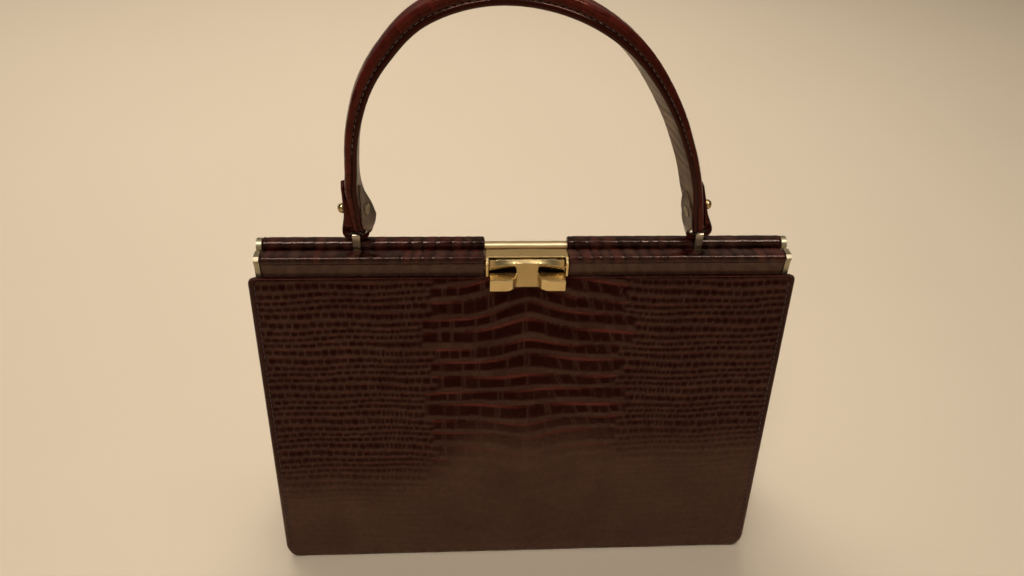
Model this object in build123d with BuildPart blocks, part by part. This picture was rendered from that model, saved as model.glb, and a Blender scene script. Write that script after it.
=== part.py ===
from build123d import *
import os

# A structured frame handbag: two leather panels, pleated sides, a hinged brass frame with leather covers,
# a lift clasp and one arched handle. Millimetres, x along the width, minus y to the front, z up, and the
# floor at zero.

# Clearances and overruns
soft_gap = 0.3
seat_gap = 0.1
pin_gap = 0.05
overrun = 10.0

# Panels
panel_top_width = 270.0
panel_bottom_width = 266.0
panel_height = 178.0
panel_thickness = 2.5
panel_bottom_radius = 9.0
panel_top_radius = 3.0
panel_edge_bevel = 0.8
base_depth = 76.0

# Base and sides
base_thickness = 2.0
base_turn_up = 14.0
gusset_inset = 1.6
gusset_arm_gap = 0.6
gusset_thickness = 1.2
gusset_top = 174.0
gusset_slit = 0.6
pleat_height = 108.0
pleat_depth = 16.0
pleat_bottom = 18.0
pleat_edge = 2.0
board_thickness = 2.0
lining_thickness = 0.8

# Frame
frame_length = 262.4
frame_half_depth = 8.2
frame_seam = 0.8
frame_metal_thickness = 1.2
frame_bottom = 166.0
front_bar_top = 186.9
back_bar_top = 188.9
back_bar_width = 5.2
inner_wall_bottom = 170.0
arm_thickness = 2.6
hinge_height = 146.0
eye_radius = 5.0
hinge_room = 3.0
hinge_pin_radius = 1.5
hinge_head_radius = 2.6
hinge_head_thickness = 1.0

# Leather on the frame
cover_thickness = 1.1
bead_height = 1.5
bead_overhang = 0.6
bead_bottom = 185.6
bead_radius = 1.6
roll_height = 2.4

# Clasp
clasp_width = 40.4
housing_metal_thickness = 0.8
housing_lip = 7.2
housing_wall_place = 4.7
housing_bottom = 169.0
notch_bottom = 173.0
cheek_reach = 10.6
cheek_thickness = 1.4
lever_setback = 1.2
lever_thickness = 1.9
lever_side_gap = 0.4
band_top = 186.6
band_crown = 0.4
rim_top = 185.2
rim_rise = 2.7
band_foot = 181.0
band_arch_rise = 2.9
pivot_height = 182.4
pivot_radius = 0.5
pivot_length = 4.0
stem_width = 10.4
stem_foot_width = 12.4
stem_forward = 4.5
lever_bottom = 174.4
horn_top = 180.4
horn_reach = 17.5
horn_root = 10.2
horn_inner = 5.2
horn_radius = 5.8
tongue_width = 8.0
tongue_height = 1.2
tongue_top = 184.4
barb_height = 1.2
barb_depth = 0.8
window_width = 9.2
window_bottom = 176.5
leaf_thickness = 0.5
leaf_width = 18.0
leaf_bottom = 172.0
leaf_window_top = 184.8
leaf_top = 186.0
spring_width = 7.0
spring_place = 11.0
spring_thickness = 0.35

# Handle
loop_spacing = 168.8
loop_offset = 1.6
loop_width = 4.0
loop_metal_thickness = 1.2
loop_leg_bottom = 183.0
fold_gap = 0.6
fold_clear = 0.9
tab_thickness = 1.6
tab_fold_radius = 2.9
tab_waist = 4.6
tab_leaf_width = 15.0
tab_leaf_height = 11.0
tab_tip_width = 5.0
tab_outer_height = 30.0
tab_inner_height = 23.0
rivet_height = 15.0
rivet_radius = 1.0
rivet_head_radius = 2.2
rivet_head_height = 1.7
rivet_crown = 1.2
washer_radius = 2.6
washer_thickness = 0.5
strap_width = 12.6
strap_thickness = 6.3
strap_edge_bevel = 1.6
strap_swell = 2.7
handle_left_rise = 45.3
handle_left_radius = 70.0
handle_right_radius = 80.0
handle_right_angle = 63.4

# Places that follow from the sizes above
panel_half_depth = frame_half_depth + soft_gap + panel_thickness
base_half_depth = base_depth / 2
panel_slope_share = (base_half_depth - panel_half_depth) / panel_height
half_seam = frame_seam / 2
half_length = frame_length / 2
arm_inside = half_length - arm_thickness
clasp_half = clasp_width / 2
loop_places = {"left": loop_offset - loop_spacing / 2, "right": loop_offset + loop_spacing / 2}


def panel_half_width(height):
    """Half the panel's width at a height."""
    grown_share = height / panel_height
    return (panel_bottom_width + (panel_top_width - panel_bottom_width) * grown_share) / 2


def inside_half_depth(height):
    """Half the room between the panels at a height."""
    return base_half_depth - panel_thickness - panel_slope_share * height


def write(part, name):
    """Name a finished piece and write it."""
    part.label = name
    export_step(part, f"parts/{name}.step")


os.makedirs("parts", exist_ok=True)

# Front and back panels: leather on board, wider than the frame, leaning in to its faces.
for side, name in ((-1, "front_panel"), (1, "back_panel")):
    with BuildPart() as panel:
        with BuildSketch(Plane.YZ):
            with BuildLine():
                Polyline(
                    (side * base_half_depth, 0),
                    (side * panel_half_depth, panel_height),
                    (side * (panel_half_depth - panel_thickness), panel_height),
                    (side * (base_half_depth - panel_thickness), 0),
                    close=True,
                )
            make_face()
        extrude(amount=panel_top_width, both=True)
        with BuildSketch(Plane.XZ):
            with BuildLine():
                Polyline(
                    (-panel_bottom_width / 2, 0),
                    (panel_bottom_width / 2, 0),
                    (panel_top_width / 2, panel_height),
                    (-panel_top_width / 2, panel_height),
                    close=True,
                )
            make_face()
            fillet(vertices().group_by(Axis.Y)[0], radius=panel_bottom_radius)
            fillet(vertices().group_by(Axis.Y)[-1], radius=panel_top_radius)
        extrude(amount=base_depth, both=True, mode=Mode.INTERSECT)
        outer_face = faces().sort_by(SortBy.AREA)[-2:].sort_by(Axis.Y)[0 if side < 0 else -1]
        chamfer(outer_face.edges(), length=panel_edge_bevel)
    write(panel.part, name)

# Base: a leather strip between the panels, turned up at both ends along their rounded corners.
base_half_width = panel_half_width(0) - gusset_inset
turned_half_width = panel_half_width(base_turn_up) - gusset_inset
with BuildPart() as base_panel:
    with BuildSketch(Plane.XZ):
        with BuildLine():
            Polyline(
                (-base_half_width, 0),
                (base_half_width, 0),
                (turned_half_width, base_turn_up),
                (-turned_half_width, base_turn_up),
                close=True,
            )
        make_face()
        fillet(vertices().group_by(Axis.Y)[0], radius=panel_bottom_radius - gusset_inset)
        with BuildSketch(mode=Mode.SUBTRACT):
            with BuildLine():
                Polyline(
                    (-base_half_width + base_thickness, base_thickness),
                    (base_half_width - base_thickness, base_thickness),
                    (turned_half_width - base_thickness, base_turn_up),
                    (-turned_half_width + base_thickness, base_turn_up),
                    close=True,
                )
            make_face()
            fillet(
                vertices().group_by(Axis.Y)[0],
                radius=panel_bottom_radius - gusset_inset - base_thickness,
            )
    extrude(amount=base_depth, both=True)
    with BuildSketch(Plane.YZ):
        with BuildLine():
            Polyline(
                (-inside_half_depth(0) + seat_gap, 0),
                (inside_half_depth(0) - seat_gap, 0),
                (inside_half_depth(base_turn_up) - seat_gap, base_turn_up),
                (-inside_half_depth(base_turn_up) + seat_gap, base_turn_up),
                close=True,
            )
        make_face()
    extrude(amount=panel_top_width, both=True, mode=Mode.INTERSECT)
write(base_panel.part, "base_panel")

# Sides: leather from the base's ends up past the frame's arms, with one pleat that is pushed in below the
# hinge, and a slit above the hinge where each half follows its own arm.
hinge_clear = hinge_height - eye_radius - hinge_room
gusset_bottom = base_turn_up + seat_gap
gusset_top_half_width = half_length + gusset_arm_gap + gusset_thickness
side_slope_share = (gusset_top_half_width - turned_half_width) / (hinge_clear - base_turn_up)


def gusset_half_width(height):
    """Half the distance between the sides' outer faces at a height below the hinge."""
    return turned_half_width + side_slope_share * (height - base_turn_up)


for side, name in ((-1, "gusset_left"), (1, "gusset_right")):
    with BuildPart() as gusset:
        with BuildSketch(Plane.XZ):
            with BuildLine():
                Polyline(
                    (side * gusset_half_width(gusset_bottom), gusset_bottom),
                    (side * gusset_top_half_width, hinge_clear),
                    (side * gusset_top_half_width, gusset_top),
                    (side * (gusset_top_half_width - gusset_thickness), gusset_top),
                    (side * (gusset_top_half_width - gusset_thickness), hinge_clear),
                    (side * (gusset_half_width(gusset_bottom) - gusset_thickness), gusset_bottom),
                    close=True,
                )
            make_face()
        extrude(amount=base_depth, both=True)
        # The pleat is a four-sided hollow: its inner skin is added, then its outer side is taken away.
        for inward, mode in ((gusset_thickness, Mode.ADD), (0, Mode.SUBTRACT)):
            low = Vector(side * (gusset_half_width(pleat_bottom) - inward), 0, pleat_bottom)
            high = Vector(side * (gusset_half_width(hinge_clear) - inward), 0, hinge_clear)
            wall = Plane(low, x_dir=(0, 1, 0), z_dir=Vector(0, 1, 0).cross(high - low))
            rise = (high - low).length
            rise_share = (pleat_height - pleat_bottom) / (hinge_clear - pleat_bottom)
            pleat_side = inside_half_depth(pleat_height) - seat_gap - pleat_edge
            with BuildSketch(wall, mode=Mode.PRIVATE) as pleat:
                with BuildLine():
                    Polyline(
                        (0, 0),
                        (pleat_side, rise * rise_share),
                        (0, rise),
                        (-pleat_side, rise * rise_share),
                        close=True,
                    )
                make_face()
            fold = side * (gusset_half_width(pleat_height) - inward - pleat_depth)
            loft(sections=[pleat.sketch.face(), Vertex(fold, 0, pleat_height)], mode=mode)
        with BuildSketch(Plane.YZ):
            with BuildLine():
                Polyline(
                    (-inside_half_depth(gusset_bottom) + seat_gap, gusset_bottom),
                    (inside_half_depth(gusset_bottom) - seat_gap, gusset_bottom),
                    (inside_half_depth(gusset_top) - seat_gap, gusset_top),
                    (-inside_half_depth(gusset_top) + seat_gap, gusset_top),
                    close=True,
                )
            make_face()
        extrude(amount=panel_top_width, both=True, mode=Mode.INTERSECT)
        with BuildSketch(Plane.XY.offset(hinge_height - eye_radius)):
            Rectangle(panel_top_width, gusset_slit)
        extrude(amount=panel_height, mode=Mode.SUBTRACT)
    write(gusset.part, name)

# Stiffener on the base leather.
board_bottom = base_thickness + seat_gap
board_top = board_bottom + board_thickness
board_half_width = base_half_width - panel_bottom_radius
with BuildPart() as base_board:
    with BuildSketch(Plane.XY.offset(board_bottom)):
        Rectangle(2 * board_half_width, 2 * (inside_half_depth(board_top) - soft_gap))
    extrude(amount=board_thickness)
write(base_board.part, "base_board")

# Lining: a fabric pouch that stands on the board and follows the panels and the pleats.
lining_bottom = board_top + seat_gap
lining_top = hinge_clear - soft_gap
lining_foot_half = board_half_width
lining_pleat_half = gusset_half_width(pleat_height) - gusset_thickness - pleat_depth - soft_gap
with BuildPart() as lining:
    with BuildSketch(Plane.YZ):
        with BuildLine():
            Polyline(
                (-inside_half_depth(lining_bottom) + soft_gap, lining_bottom),
                (inside_half_depth(lining_bottom) - soft_gap, lining_bottom),
                (inside_half_depth(lining_top) - soft_gap, lining_top),
                (-inside_half_depth(lining_top) + soft_gap, lining_top),
                close=True,
            )
        make_face()
    extrude(amount=panel_top_width, both=True)
    with BuildSketch(Plane.XZ):
        with BuildLine():
            Polyline(
                (-lining_foot_half, lining_bottom),
                (lining_foot_half, lining_bottom),
                (lining_pleat_half, pleat_height),
                (lining_pleat_half, lining_top),
                (-lining_pleat_half, lining_top),
                (-lining_pleat_half, pleat_height),
                close=True,
            )
        make_face()
    extrude(amount=base_depth, both=True, mode=Mode.INTERSECT)
    offset(amount=-lining_thickness, openings=faces().sort_by(Axis.Z)[-1])
write(lining.part, "lining")

# Profiles of the frame, in y and z, for the front half; the back half has its own.
bar_front = frame_half_depth - cover_thickness
bar_rear = half_seam + seat_gap
back_bar_front = frame_half_depth - cover_thickness - seat_gap - back_bar_width
back_bar_middle = back_bar_front + back_bar_width / 2
back_bar_shoulder = back_bar_top - back_bar_width / 2
arm_waist = hinge_height + 2 * eye_radius

# Front half of the frame: an inverted channel with an arm at each end that runs down to the hinge eye.
housing_wall_front = housing_wall_place + housing_metal_thickness
notch_rear = housing_wall_place - seat_gap
with BuildPart() as front_frame:
    with BuildSketch(Plane.YZ):
        with BuildLine():
            Polyline(
                (-bar_front, frame_bottom),
                (-bar_front, front_bar_top),
                (-bar_rear, front_bar_top),
                (-bar_rear, inner_wall_bottom),
                (-bar_rear - frame_metal_thickness, inner_wall_bottom),
                (-bar_rear - frame_metal_thickness, front_bar_top - frame_metal_thickness),
                (-bar_front + frame_metal_thickness, front_bar_top - frame_metal_thickness),
                (-bar_front + frame_metal_thickness, frame_bottom),
                close=True,
            )
        make_face()
    extrude(amount=arm_inside, both=True)
    # The notch that the clasp's housing drops into, and the window for the lever's tongue.
    with BuildSketch(Plane.XZ.offset(notch_rear)):
        with Locations((0, (notch_bottom + front_bar_top + overrun) / 2)):
            Rectangle(clasp_width + 2 * seat_gap, front_bar_top + overrun - notch_bottom)
    extrude(amount=frame_half_depth, mode=Mode.SUBTRACT)
    with BuildSketch(Plane.XZ):
        with Locations((0, (window_bottom + front_bar_top - frame_metal_thickness) / 2)):
            Rectangle(window_width, front_bar_top - frame_metal_thickness - window_bottom)
    extrude(amount=bar_rear + frame_metal_thickness + seat_gap, mode=Mode.SUBTRACT)
    for side in (-1, 1):
        with BuildSketch(Plane.YZ.offset(side * arm_inside)):
            with BuildLine():
                Polyline(
                    (-half_seam, arm_waist),
                    (-half_seam, front_bar_top),
                    (-half_seam - bead_radius, front_bar_top + bead_height),
                    (-frame_half_depth - bead_overhang + bead_radius, front_bar_top + bead_height),
                    (-frame_half_depth - bead_overhang, front_bar_top),
                    (-frame_half_depth - bead_overhang, bead_bottom),
                    (-frame_half_depth, bead_bottom - bead_overhang),
                    (-frame_half_depth, arm_waist),
                    (-eye_radius, hinge_height),
                    (eye_radius, hinge_height),
                    close=True,
                )
            make_face()
            with Locations((0, hinge_height)):
                Circle(eye_radius)
                Circle(hinge_pin_radius + pin_gap, mode=Mode.SUBTRACT)
        extrude(amount=side * arm_thickness)
write(front_frame.part, "front_frame")

# Back half: a narrower channel with a half-round top, and arms whose eyes lie inside the front ones.
with BuildPart() as back_frame:
    with BuildSketch(Plane.YZ):
        with BuildLine():
            Polyline(
                (back_bar_front, back_bar_shoulder),
                (back_bar_front, frame_bottom),
                (back_bar_front + frame_metal_thickness, frame_bottom),
                (back_bar_front + frame_metal_thickness, back_bar_shoulder),
            )
            ThreePointArc(
                (back_bar_front + frame_metal_thickness, back_bar_shoulder),
                (back_bar_middle, back_bar_top - frame_metal_thickness),
                (back_bar_front + back_bar_width - frame_metal_thickness, back_bar_shoulder),
            )
            Polyline(
                (back_bar_front + back_bar_width - frame_metal_thickness, back_bar_shoulder),
                (back_bar_front + back_bar_width - frame_metal_thickness, frame_bottom),
                (back_bar_front + back_bar_width, frame_bottom),
                (back_bar_front + back_bar_width, back_bar_shoulder),
            )
            ThreePointArc(
                (back_bar_front + back_bar_width, back_bar_shoulder),
                (back_bar_middle, back_bar_top),
                (back_bar_front, back_bar_shoulder),
            )
        make_face()
    extrude(amount=arm_inside, both=True)
    # The window that the tongue's barb enters.
    with BuildSketch(Plane.XZ):
        with Locations((0, (window_bottom + leaf_top) / 2)):
            Rectangle(window_width, leaf_top - window_bottom)
    extrude(amount=-back_bar_front - frame_metal_thickness - seat_gap, mode=Mode.SUBTRACT)
    for side in (-1, 1):
        with BuildSketch(Plane.YZ.offset(side * arm_inside)):
            with BuildLine():
                Polyline(
                    (half_seam, arm_waist),
                    (half_seam, back_bar_shoulder),
                )
                ThreePointArc(
                    (half_seam, back_bar_shoulder),
                    ((half_seam + frame_half_depth) / 2, back_bar_top + roll_height),
                    (frame_half_depth, back_bar_shoulder),
                )
                Polyline(
                    (frame_half_depth, back_bar_shoulder),
                    (frame_half_depth, arm_waist),
                    (half_seam, arm_waist),
                )
            make_face()
        extrude(amount=side * arm_thickness)
        with BuildSketch(Plane.YZ.offset(side * arm_inside)):
            with BuildLine():
                Polyline(
                    (half_seam, arm_waist),
                    (half_seam, frame_bottom),
                    (frame_half_depth, frame_bottom),
                    (frame_half_depth, arm_waist),
                    (eye_radius, hinge_height),
                    (-eye_radius, hinge_height),
                    close=True,
                )
            make_face()
            with Locations((0, hinge_height)):
                Circle(eye_radius)
                Circle(hinge_pin_radius + pin_gap, mode=Mode.SUBTRACT)
        extrude(amount=-side * arm_thickness)
write(back_frame.part, "back_frame")

# Hinge rivets through both eyes, each with a head on the inside.
for side, name in ((-1, "hinge_pin_left"), (1, "hinge_pin_right")):
    with BuildPart() as hinge_pin:
        with BuildSketch(Plane.YZ.offset(side * half_length)):
            with Locations((0, hinge_height)):
                Circle(hinge_pin_radius)
        extrude(amount=-side * (2 * arm_thickness + seat_gap))
        with BuildSketch(Plane.YZ.offset(side * (arm_inside - arm_thickness - seat_gap))):
            with Locations((0, hinge_height)):
                Circle(hinge_head_radius)
        extrude(amount=-side * hinge_head_thickness)
    write(hinge_pin.part, name)

# Leather on the front half: a padded bead on top and a flat face down behind the panel's edge.
cover_length = arm_inside - clasp_half - 3 * seat_gap
cover_end = arm_inside - seat_gap
for side, name in ((-1, "front_frame_cover_left"), (1, "front_frame_cover_right")):
    with BuildPart() as front_cover:
        with BuildSketch(Plane.YZ.offset(side * cover_end)):
            with BuildLine():
                Polyline(
                    (-bar_front - seat_gap, frame_bottom),
                    (-bar_front - seat_gap, front_bar_top + seat_gap),
                    (-half_seam, front_bar_top + seat_gap),
                    (-half_seam, front_bar_top + bead_height),
                    (-frame_half_depth - bead_overhang, front_bar_top + bead_height),
                    (-frame_half_depth - bead_overhang, bead_bottom),
                    (-frame_half_depth, bead_bottom),
                    (-frame_half_depth, frame_bottom),
                    close=True,
                )
            make_face()
            fillet(vertices().group_by(Axis.Y)[-1].sort_by(Axis.X)[0], radius=bead_radius)
            fillet(vertices().group_by(Axis.Y)[-1].sort_by(Axis.X)[-1], radius=bead_height - seat_gap * 2)
        extrude(amount=-side * cover_length)
    write(front_cover.part, name)

# Leather on the back half: a higher roll, slotted for the handle's loops.
loop_half_depth = back_bar_width / 2 + seat_gap + loop_metal_thickness
for side, name, place in (
    (-1, "back_frame_cover_left", loop_places["left"]),
    (1, "back_frame_cover_right", loop_places["right"]),
):
    with BuildPart() as back_cover:
        with BuildSketch(Plane.YZ.offset(side * cover_end)):
            with BuildLine():
                Polyline(
                    (half_seam, back_bar_shoulder),
                    (half_seam, bead_bottom - bead_height),
                    (back_bar_front - seat_gap, bead_bottom - bead_height),
                    (back_bar_front - seat_gap, back_bar_shoulder),
                )
                ThreePointArc(
                    (back_bar_front - seat_gap, back_bar_shoulder),
                    (back_bar_middle, back_bar_top + seat_gap),
                    (back_bar_front + back_bar_width + seat_gap, back_bar_shoulder),
                )
                Polyline(
                    (back_bar_front + back_bar_width + seat_gap, back_bar_shoulder),
                    (back_bar_front + back_bar_width + seat_gap, frame_bottom),
                    (frame_half_depth, frame_bottom),
                    (frame_half_depth, back_bar_shoulder),
                )
                ThreePointArc(
                    (frame_half_depth, back_bar_shoulder),
                    ((half_seam + frame_half_depth) / 2, back_bar_top + roll_height),
                    (half_seam, back_bar_shoulder),
                )
            make_face()
        extrude(amount=-side * cover_length)
        with BuildSketch(Plane.XY.offset(loop_leg_bottom - seat_gap)):
            for leg in (-1, 1):
                leg_inside = loop_half_depth - loop_metal_thickness - seat_gap
                with Locations((place, back_bar_middle + leg * (leg_inside + overrun / 2))):
                    Rectangle(loop_width + 2 * seat_gap, overrun)
        extrude(amount=back_bar_top - loop_leg_bottom + overrun, mode=Mode.SUBTRACT)
    write(back_cover.part, name)

# Clasp housing: a brass tray with a top lip, a back wall behind the panel's edge and two cheeks.
housing_top = front_bar_top + seat_gap + housing_metal_thickness
cheek_bottom = panel_height + soft_gap
lever_front = cheek_reach - lever_setback
lever_rear = lever_front - lever_thickness
pivot_place = lever_front - lever_thickness / 2
cheek_inside = clasp_half - cheek_thickness
with BuildPart() as clasp_housing:
    with BuildSketch(Plane.YZ):
        with BuildLine():
            Polyline(
                (-bar_rear, housing_top),
                (-housing_lip, housing_top),
                (-housing_lip, housing_top - housing_metal_thickness),
                (-housing_wall_front, housing_top - housing_metal_thickness),
                (-housing_wall_front, housing_bottom),
                (-housing_wall_place, housing_bottom),
                (-housing_wall_place, housing_top - housing_metal_thickness),
                (-bar_rear, housing_top - housing_metal_thickness),
                close=True,
            )
        make_face()
    extrude(amount=clasp_half, both=True)
    for side in (-1, 1):
        with BuildSketch(Plane.YZ.offset(side * cheek_inside)):
            with BuildLine():
                Polyline(
                    (-housing_wall_place, cheek_bottom),
                    (-housing_wall_place, housing_top),
                    (-housing_lip, housing_top),
                    (-cheek_reach, housing_top - housing_metal_thickness - housing_metal_thickness),
                    (-cheek_reach, cheek_bottom),
                    close=True,
                )
            make_face()
            with Locations((-pivot_place, pivot_height)):
                Circle(pivot_radius + pin_gap, mode=Mode.SUBTRACT)
        extrude(amount=side * cheek_thickness)
    with BuildSketch(Plane.XZ):
        with Locations((0, (window_bottom + housing_top - 2 * housing_metal_thickness) / 2)):
            Rectangle(window_width, housing_top - 2 * housing_metal_thickness - window_bottom)
    extrude(amount=housing_lip, mode=Mode.SUBTRACT)
write(clasp_housing.part, "clasp_housing")

# Two short pins from the cheeks into the ends of the lever's band.
with BuildPart() as clasp_pivot_pins:
    for side in (-1, 1):
        with BuildSketch(Plane.YZ.offset(side * clasp_half)):
            with Locations((-pivot_place, pivot_height)):
                Circle(pivot_radius)
        extrude(amount=-side * pivot_length)
write(clasp_pivot_pins.part, "clasp_pivot_pins")

# Lever: a band between the cheeks that slopes to an arched rim, a stem that slopes forward over the panel's
# edge, two horns for the thumb, and a tongue with a barb that reaches across the seam to the catch.
lever_half = cheek_inside - lever_side_gap
stem_top = rim_top
panel_clear = panel_half_depth + soft_gap + panel_slope_share * (panel_height - lever_bottom)
lever_clear_height = panel_height + soft_gap
barb_front = back_bar_front + leaf_thickness / 2
with BuildPart() as lever_stem:
    with BuildSketch(Plane.YZ):
        with BuildLine():
            Polyline(
                (-lever_rear, stem_top),
                (-lever_rear, horn_top),
                (-panel_clear, lever_clear_height),
                (-panel_clear, lever_bottom),
                (-lever_front - stem_forward, lever_bottom),
                (-lever_front, stem_top),
                close=True,
            )
        make_face()
    extrude(amount=lever_half, both=True)
    # Its front outline has a waist, and flares to the band above and the horns below.
    with BuildSketch(Plane.XZ):
        with BuildLine():
            for side in (-1, 1):
                ThreePointArc(
                    (side * stem_foot_width / 2, stem_top),
                    (side * stem_width / 2, (stem_top + lever_bottom) / 2),
                    (side * stem_foot_width / 2, lever_bottom),
                )
            Line((-stem_foot_width / 2, lever_bottom), (stem_foot_width / 2, lever_bottom))
            Line((-stem_foot_width / 2, stem_top), (stem_foot_width / 2, stem_top))
        make_face()
    extrude(amount=horn_reach, both=True, mode=Mode.INTERSECT)
with BuildPart() as clasp_lever:
    for depth, crest, sag in ((lever_rear, band_top, band_crown), (lever_front, rim_top, rim_rise)):
        with BuildSketch(Plane.XZ.offset(depth)):
            with BuildLine():
                ThreePointArc((-lever_half, crest - sag), (0, crest), (lever_half, crest - sag))
                Line((lever_half, crest - sag), (lever_half, band_foot))
                ThreePointArc((lever_half, band_foot), (0, band_foot + band_arch_rise), (-lever_half, band_foot))
                Line((-lever_half, band_foot), (-lever_half, crest - sag))
            make_face()
    loft()
    add(lever_stem.part)
    for side in (-1, 1):
        with BuildSketch(Plane.XY.offset(lever_bottom)):
            with Locations((side * (horn_inner + lever_half) / 2, -(horn_root + horn_reach) / 2)):
                Rectangle(lever_half - horn_inner, horn_reach - horn_root)
            inner_front = vertices().group_by(Axis.Y)[0].sort_by(Axis.X)[0 if side > 0 else -1]
            fillet(inner_front, radius=horn_radius)
        extrude(amount=horn_top - lever_bottom)
    # Room for the panel's top edge behind the horns.
    with BuildSketch(Plane.XY.offset(lever_bottom)):
        with Locations((0, -panel_clear / 2)):
            Rectangle(clasp_width, panel_clear)
    extrude(amount=lever_clear_height - lever_bottom, mode=Mode.SUBTRACT)
    # Tongue and barb.
    with BuildSketch(Plane.YZ):
        with BuildLine():
            Polyline(
                (-lever_rear - lever_thickness / 2, tongue_top - tongue_height),
                (-lever_rear - lever_thickness / 2, tongue_top),
                (barb_front, tongue_top),
                (barb_front, tongue_top + barb_height),
                (barb_front + barb_depth, tongue_top),
                (barb_front + barb_depth, tongue_top - tongue_height),
                close=True,
            )
        make_face()
    extrude(amount=tongue_width / 2, both=True)
    for side in (-1, 1):
        with BuildSketch(Plane.YZ.offset(side * (cheek_inside + seat_gap))):
            with Locations((-pivot_place, pivot_height)):
                Circle(pivot_radius + pin_gap)
        extrude(amount=-side * (pivot_length - cheek_thickness + 2 * seat_gap), mode=Mode.SUBTRACT)
write(clasp_lever.part, "clasp_lever")

# Two bent leaves between the band and the housing's wall, which push the lever home.
leaf_back = housing_wall_front + seat_gap
leaf_front = lever_rear - seat_gap
leaf_foot = pivot_height + pivot_radius
leaf_bend = leaf_foot + 2 * spring_thickness
with BuildPart() as lever_springs:
    with BuildSketch(Plane.YZ):
        with BuildLine():
            Polyline(
                (-leaf_back, leaf_foot),
                (-leaf_back, leaf_bend),
                (-leaf_front + spring_thickness, leaf_bend + spring_thickness),
                (-leaf_front, leaf_bend + spring_thickness),
                (-leaf_front, leaf_bend),
                (-leaf_back - spring_thickness, leaf_bend - spring_thickness),
                (-leaf_back - spring_thickness, leaf_foot),
                close=True,
            )
        make_face()
    leaf = extrude(amount=spring_width / 2, both=True, mode=Mode.PRIVATE)
    with Locations((-spring_place, 0, 0), (spring_place, 0, 0)):
        add(leaf)
write(lever_springs.part, "lever_springs")

# Catch: a spring leaf on the back half's front wall, with a window under a bridge that holds the barb.
with BuildPart() as catch_spring:
    with BuildSketch(Plane.XZ.offset(-back_bar_front + pin_gap)):
        with Locations((0, (leaf_bottom + leaf_top) / 2)):
            Rectangle(leaf_width, leaf_top - leaf_bottom)
        with Locations((0, (window_bottom + leaf_window_top) / 2)):
            Rectangle(window_width, leaf_window_top - window_bottom, mode=Mode.SUBTRACT)
    extrude(amount=leaf_thickness)
write(catch_spring.part, "catch_spring")

# Handle loops: flat brass staples astride the back half, whose bars carry the tabs.
roll_top = back_bar_top + roll_height
fold_bottom = roll_top + fold_clear
loop_bar_bottom = fold_bottom + tab_thickness + fold_gap
loop_bar_middle = loop_bar_bottom + loop_metal_thickness / 2
for end, place in loop_places.items():
    with BuildPart() as loop:
        with BuildSketch(Plane.YZ.offset(place)):
            loop_top = loop_bar_bottom + loop_metal_thickness
            with Locations((back_bar_middle, (loop_leg_bottom + loop_top) / 2)):
                Rectangle(2 * loop_half_depth, loop_top - loop_leg_bottom)
            fillet(vertices().group_by(Axis.Y)[-1], radius=loop_metal_thickness)
            with Locations((back_bar_middle, (loop_leg_bottom - overrun + loop_bar_bottom) / 2)):
                Rectangle(
                    2 * (loop_half_depth - loop_metal_thickness),
                    loop_bar_bottom - loop_leg_bottom + overrun,
                    mode=Mode.SUBTRACT,
                )
        extrude(amount=loop_width / 2, both=True)
    write(loop.part, f"handle_loop_{end}")

# Handle: a padded strap along an arch that leans to the left, from one loop's bar to the other's.
with BuildPart() as handle:
    with BuildLine(Plane.XZ.offset(-back_bar_middle)) as arch:
        left_leg = Line(
            (loop_places["left"], loop_bar_middle),
            (loop_places["left"], loop_bar_middle + handle_left_rise),
        )
        left_arc = JernArc(left_leg @ 1, left_leg % 1, handle_left_radius, -90)
        right_arc = JernArc(left_arc @ 1, left_arc % 1, handle_right_radius, -handle_right_angle)
        TangentArc(
            right_arc @ 1,
            (loop_places["right"], loop_bar_middle),
            tangent=right_arc % 1,
        )
    arch_wire = arch.wires()[0]
    # The strap's inner edge keeps half its thickness from the arch; its outer edge swells towards the top.
    half_strap = strap_thickness / 2
    foot_way = arch_wire % 1
    foot_across = Vector(-foot_way.Z, foot_way.X)
    right_foot = Vector(loop_places["right"], loop_bar_middle)
    turn_middle = loop_places["left"] + handle_left_radius
    turn_height = loop_bar_middle + handle_left_rise
    right_height = turn_height + handle_left_radius - handle_right_radius
    with BuildSketch(Plane.XZ.offset(-back_bar_middle)):
        with BuildLine():
            outer_leg = Line(
                (loop_places["left"] - half_strap, loop_bar_middle),
                (loop_places["left"] - half_strap, turn_height),
            )
            EllipticalCenterArc(
                (turn_middle, turn_height),
                handle_left_radius + half_strap,
                handle_left_radius + half_strap + strap_swell,
                start_angle=90,
                arc_size=90,
            )
            outer_right = EllipticalCenterArc(
                (turn_middle, right_height),
                handle_right_radius + half_strap,
                handle_right_radius + half_strap + strap_swell,
                start_angle=90 - handle_right_angle,
                arc_size=handle_right_angle,
            )
            outer_foot = TangentArc(
                outer_right @ 0,
                right_foot + foot_across * half_strap,
                tangent=-(outer_right % 0),
            )
            Line(outer_foot @ 1, right_foot - foot_across * half_strap)
            inner_leg = Line(
                (loop_places["left"] + half_strap, loop_bar_middle),
                (loop_places["left"] + half_strap, turn_height),
            )
            inner_left = JernArc(inner_leg @ 1, inner_leg % 1, handle_left_radius - half_strap, -90)
            inner_right = JernArc(
                inner_left @ 1, inner_left % 1, handle_right_radius - half_strap, -handle_right_angle
            )
            TangentArc(inner_right @ 1, right_foot - foot_across * half_strap, tangent=inner_right % 1)
            Line(outer_leg @ 0, inner_leg @ 0)
        make_face()
    extrude(amount=strap_width / 2, both=True)
    chamfer(faces().filter_by(Axis.Y).edges(), length=strap_edge_bevel)
    # Room for the loops' bars at both ends.
    with BuildSketch(Plane.XZ.offset(-back_bar_middle)):
        for place in loop_places.values():
            with Locations((place, loop_bar_middle)):
                Circle(loop_width / 2 + fold_gap)
    extrude(amount=strap_width, both=True, mode=Mode.SUBTRACT)

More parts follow.
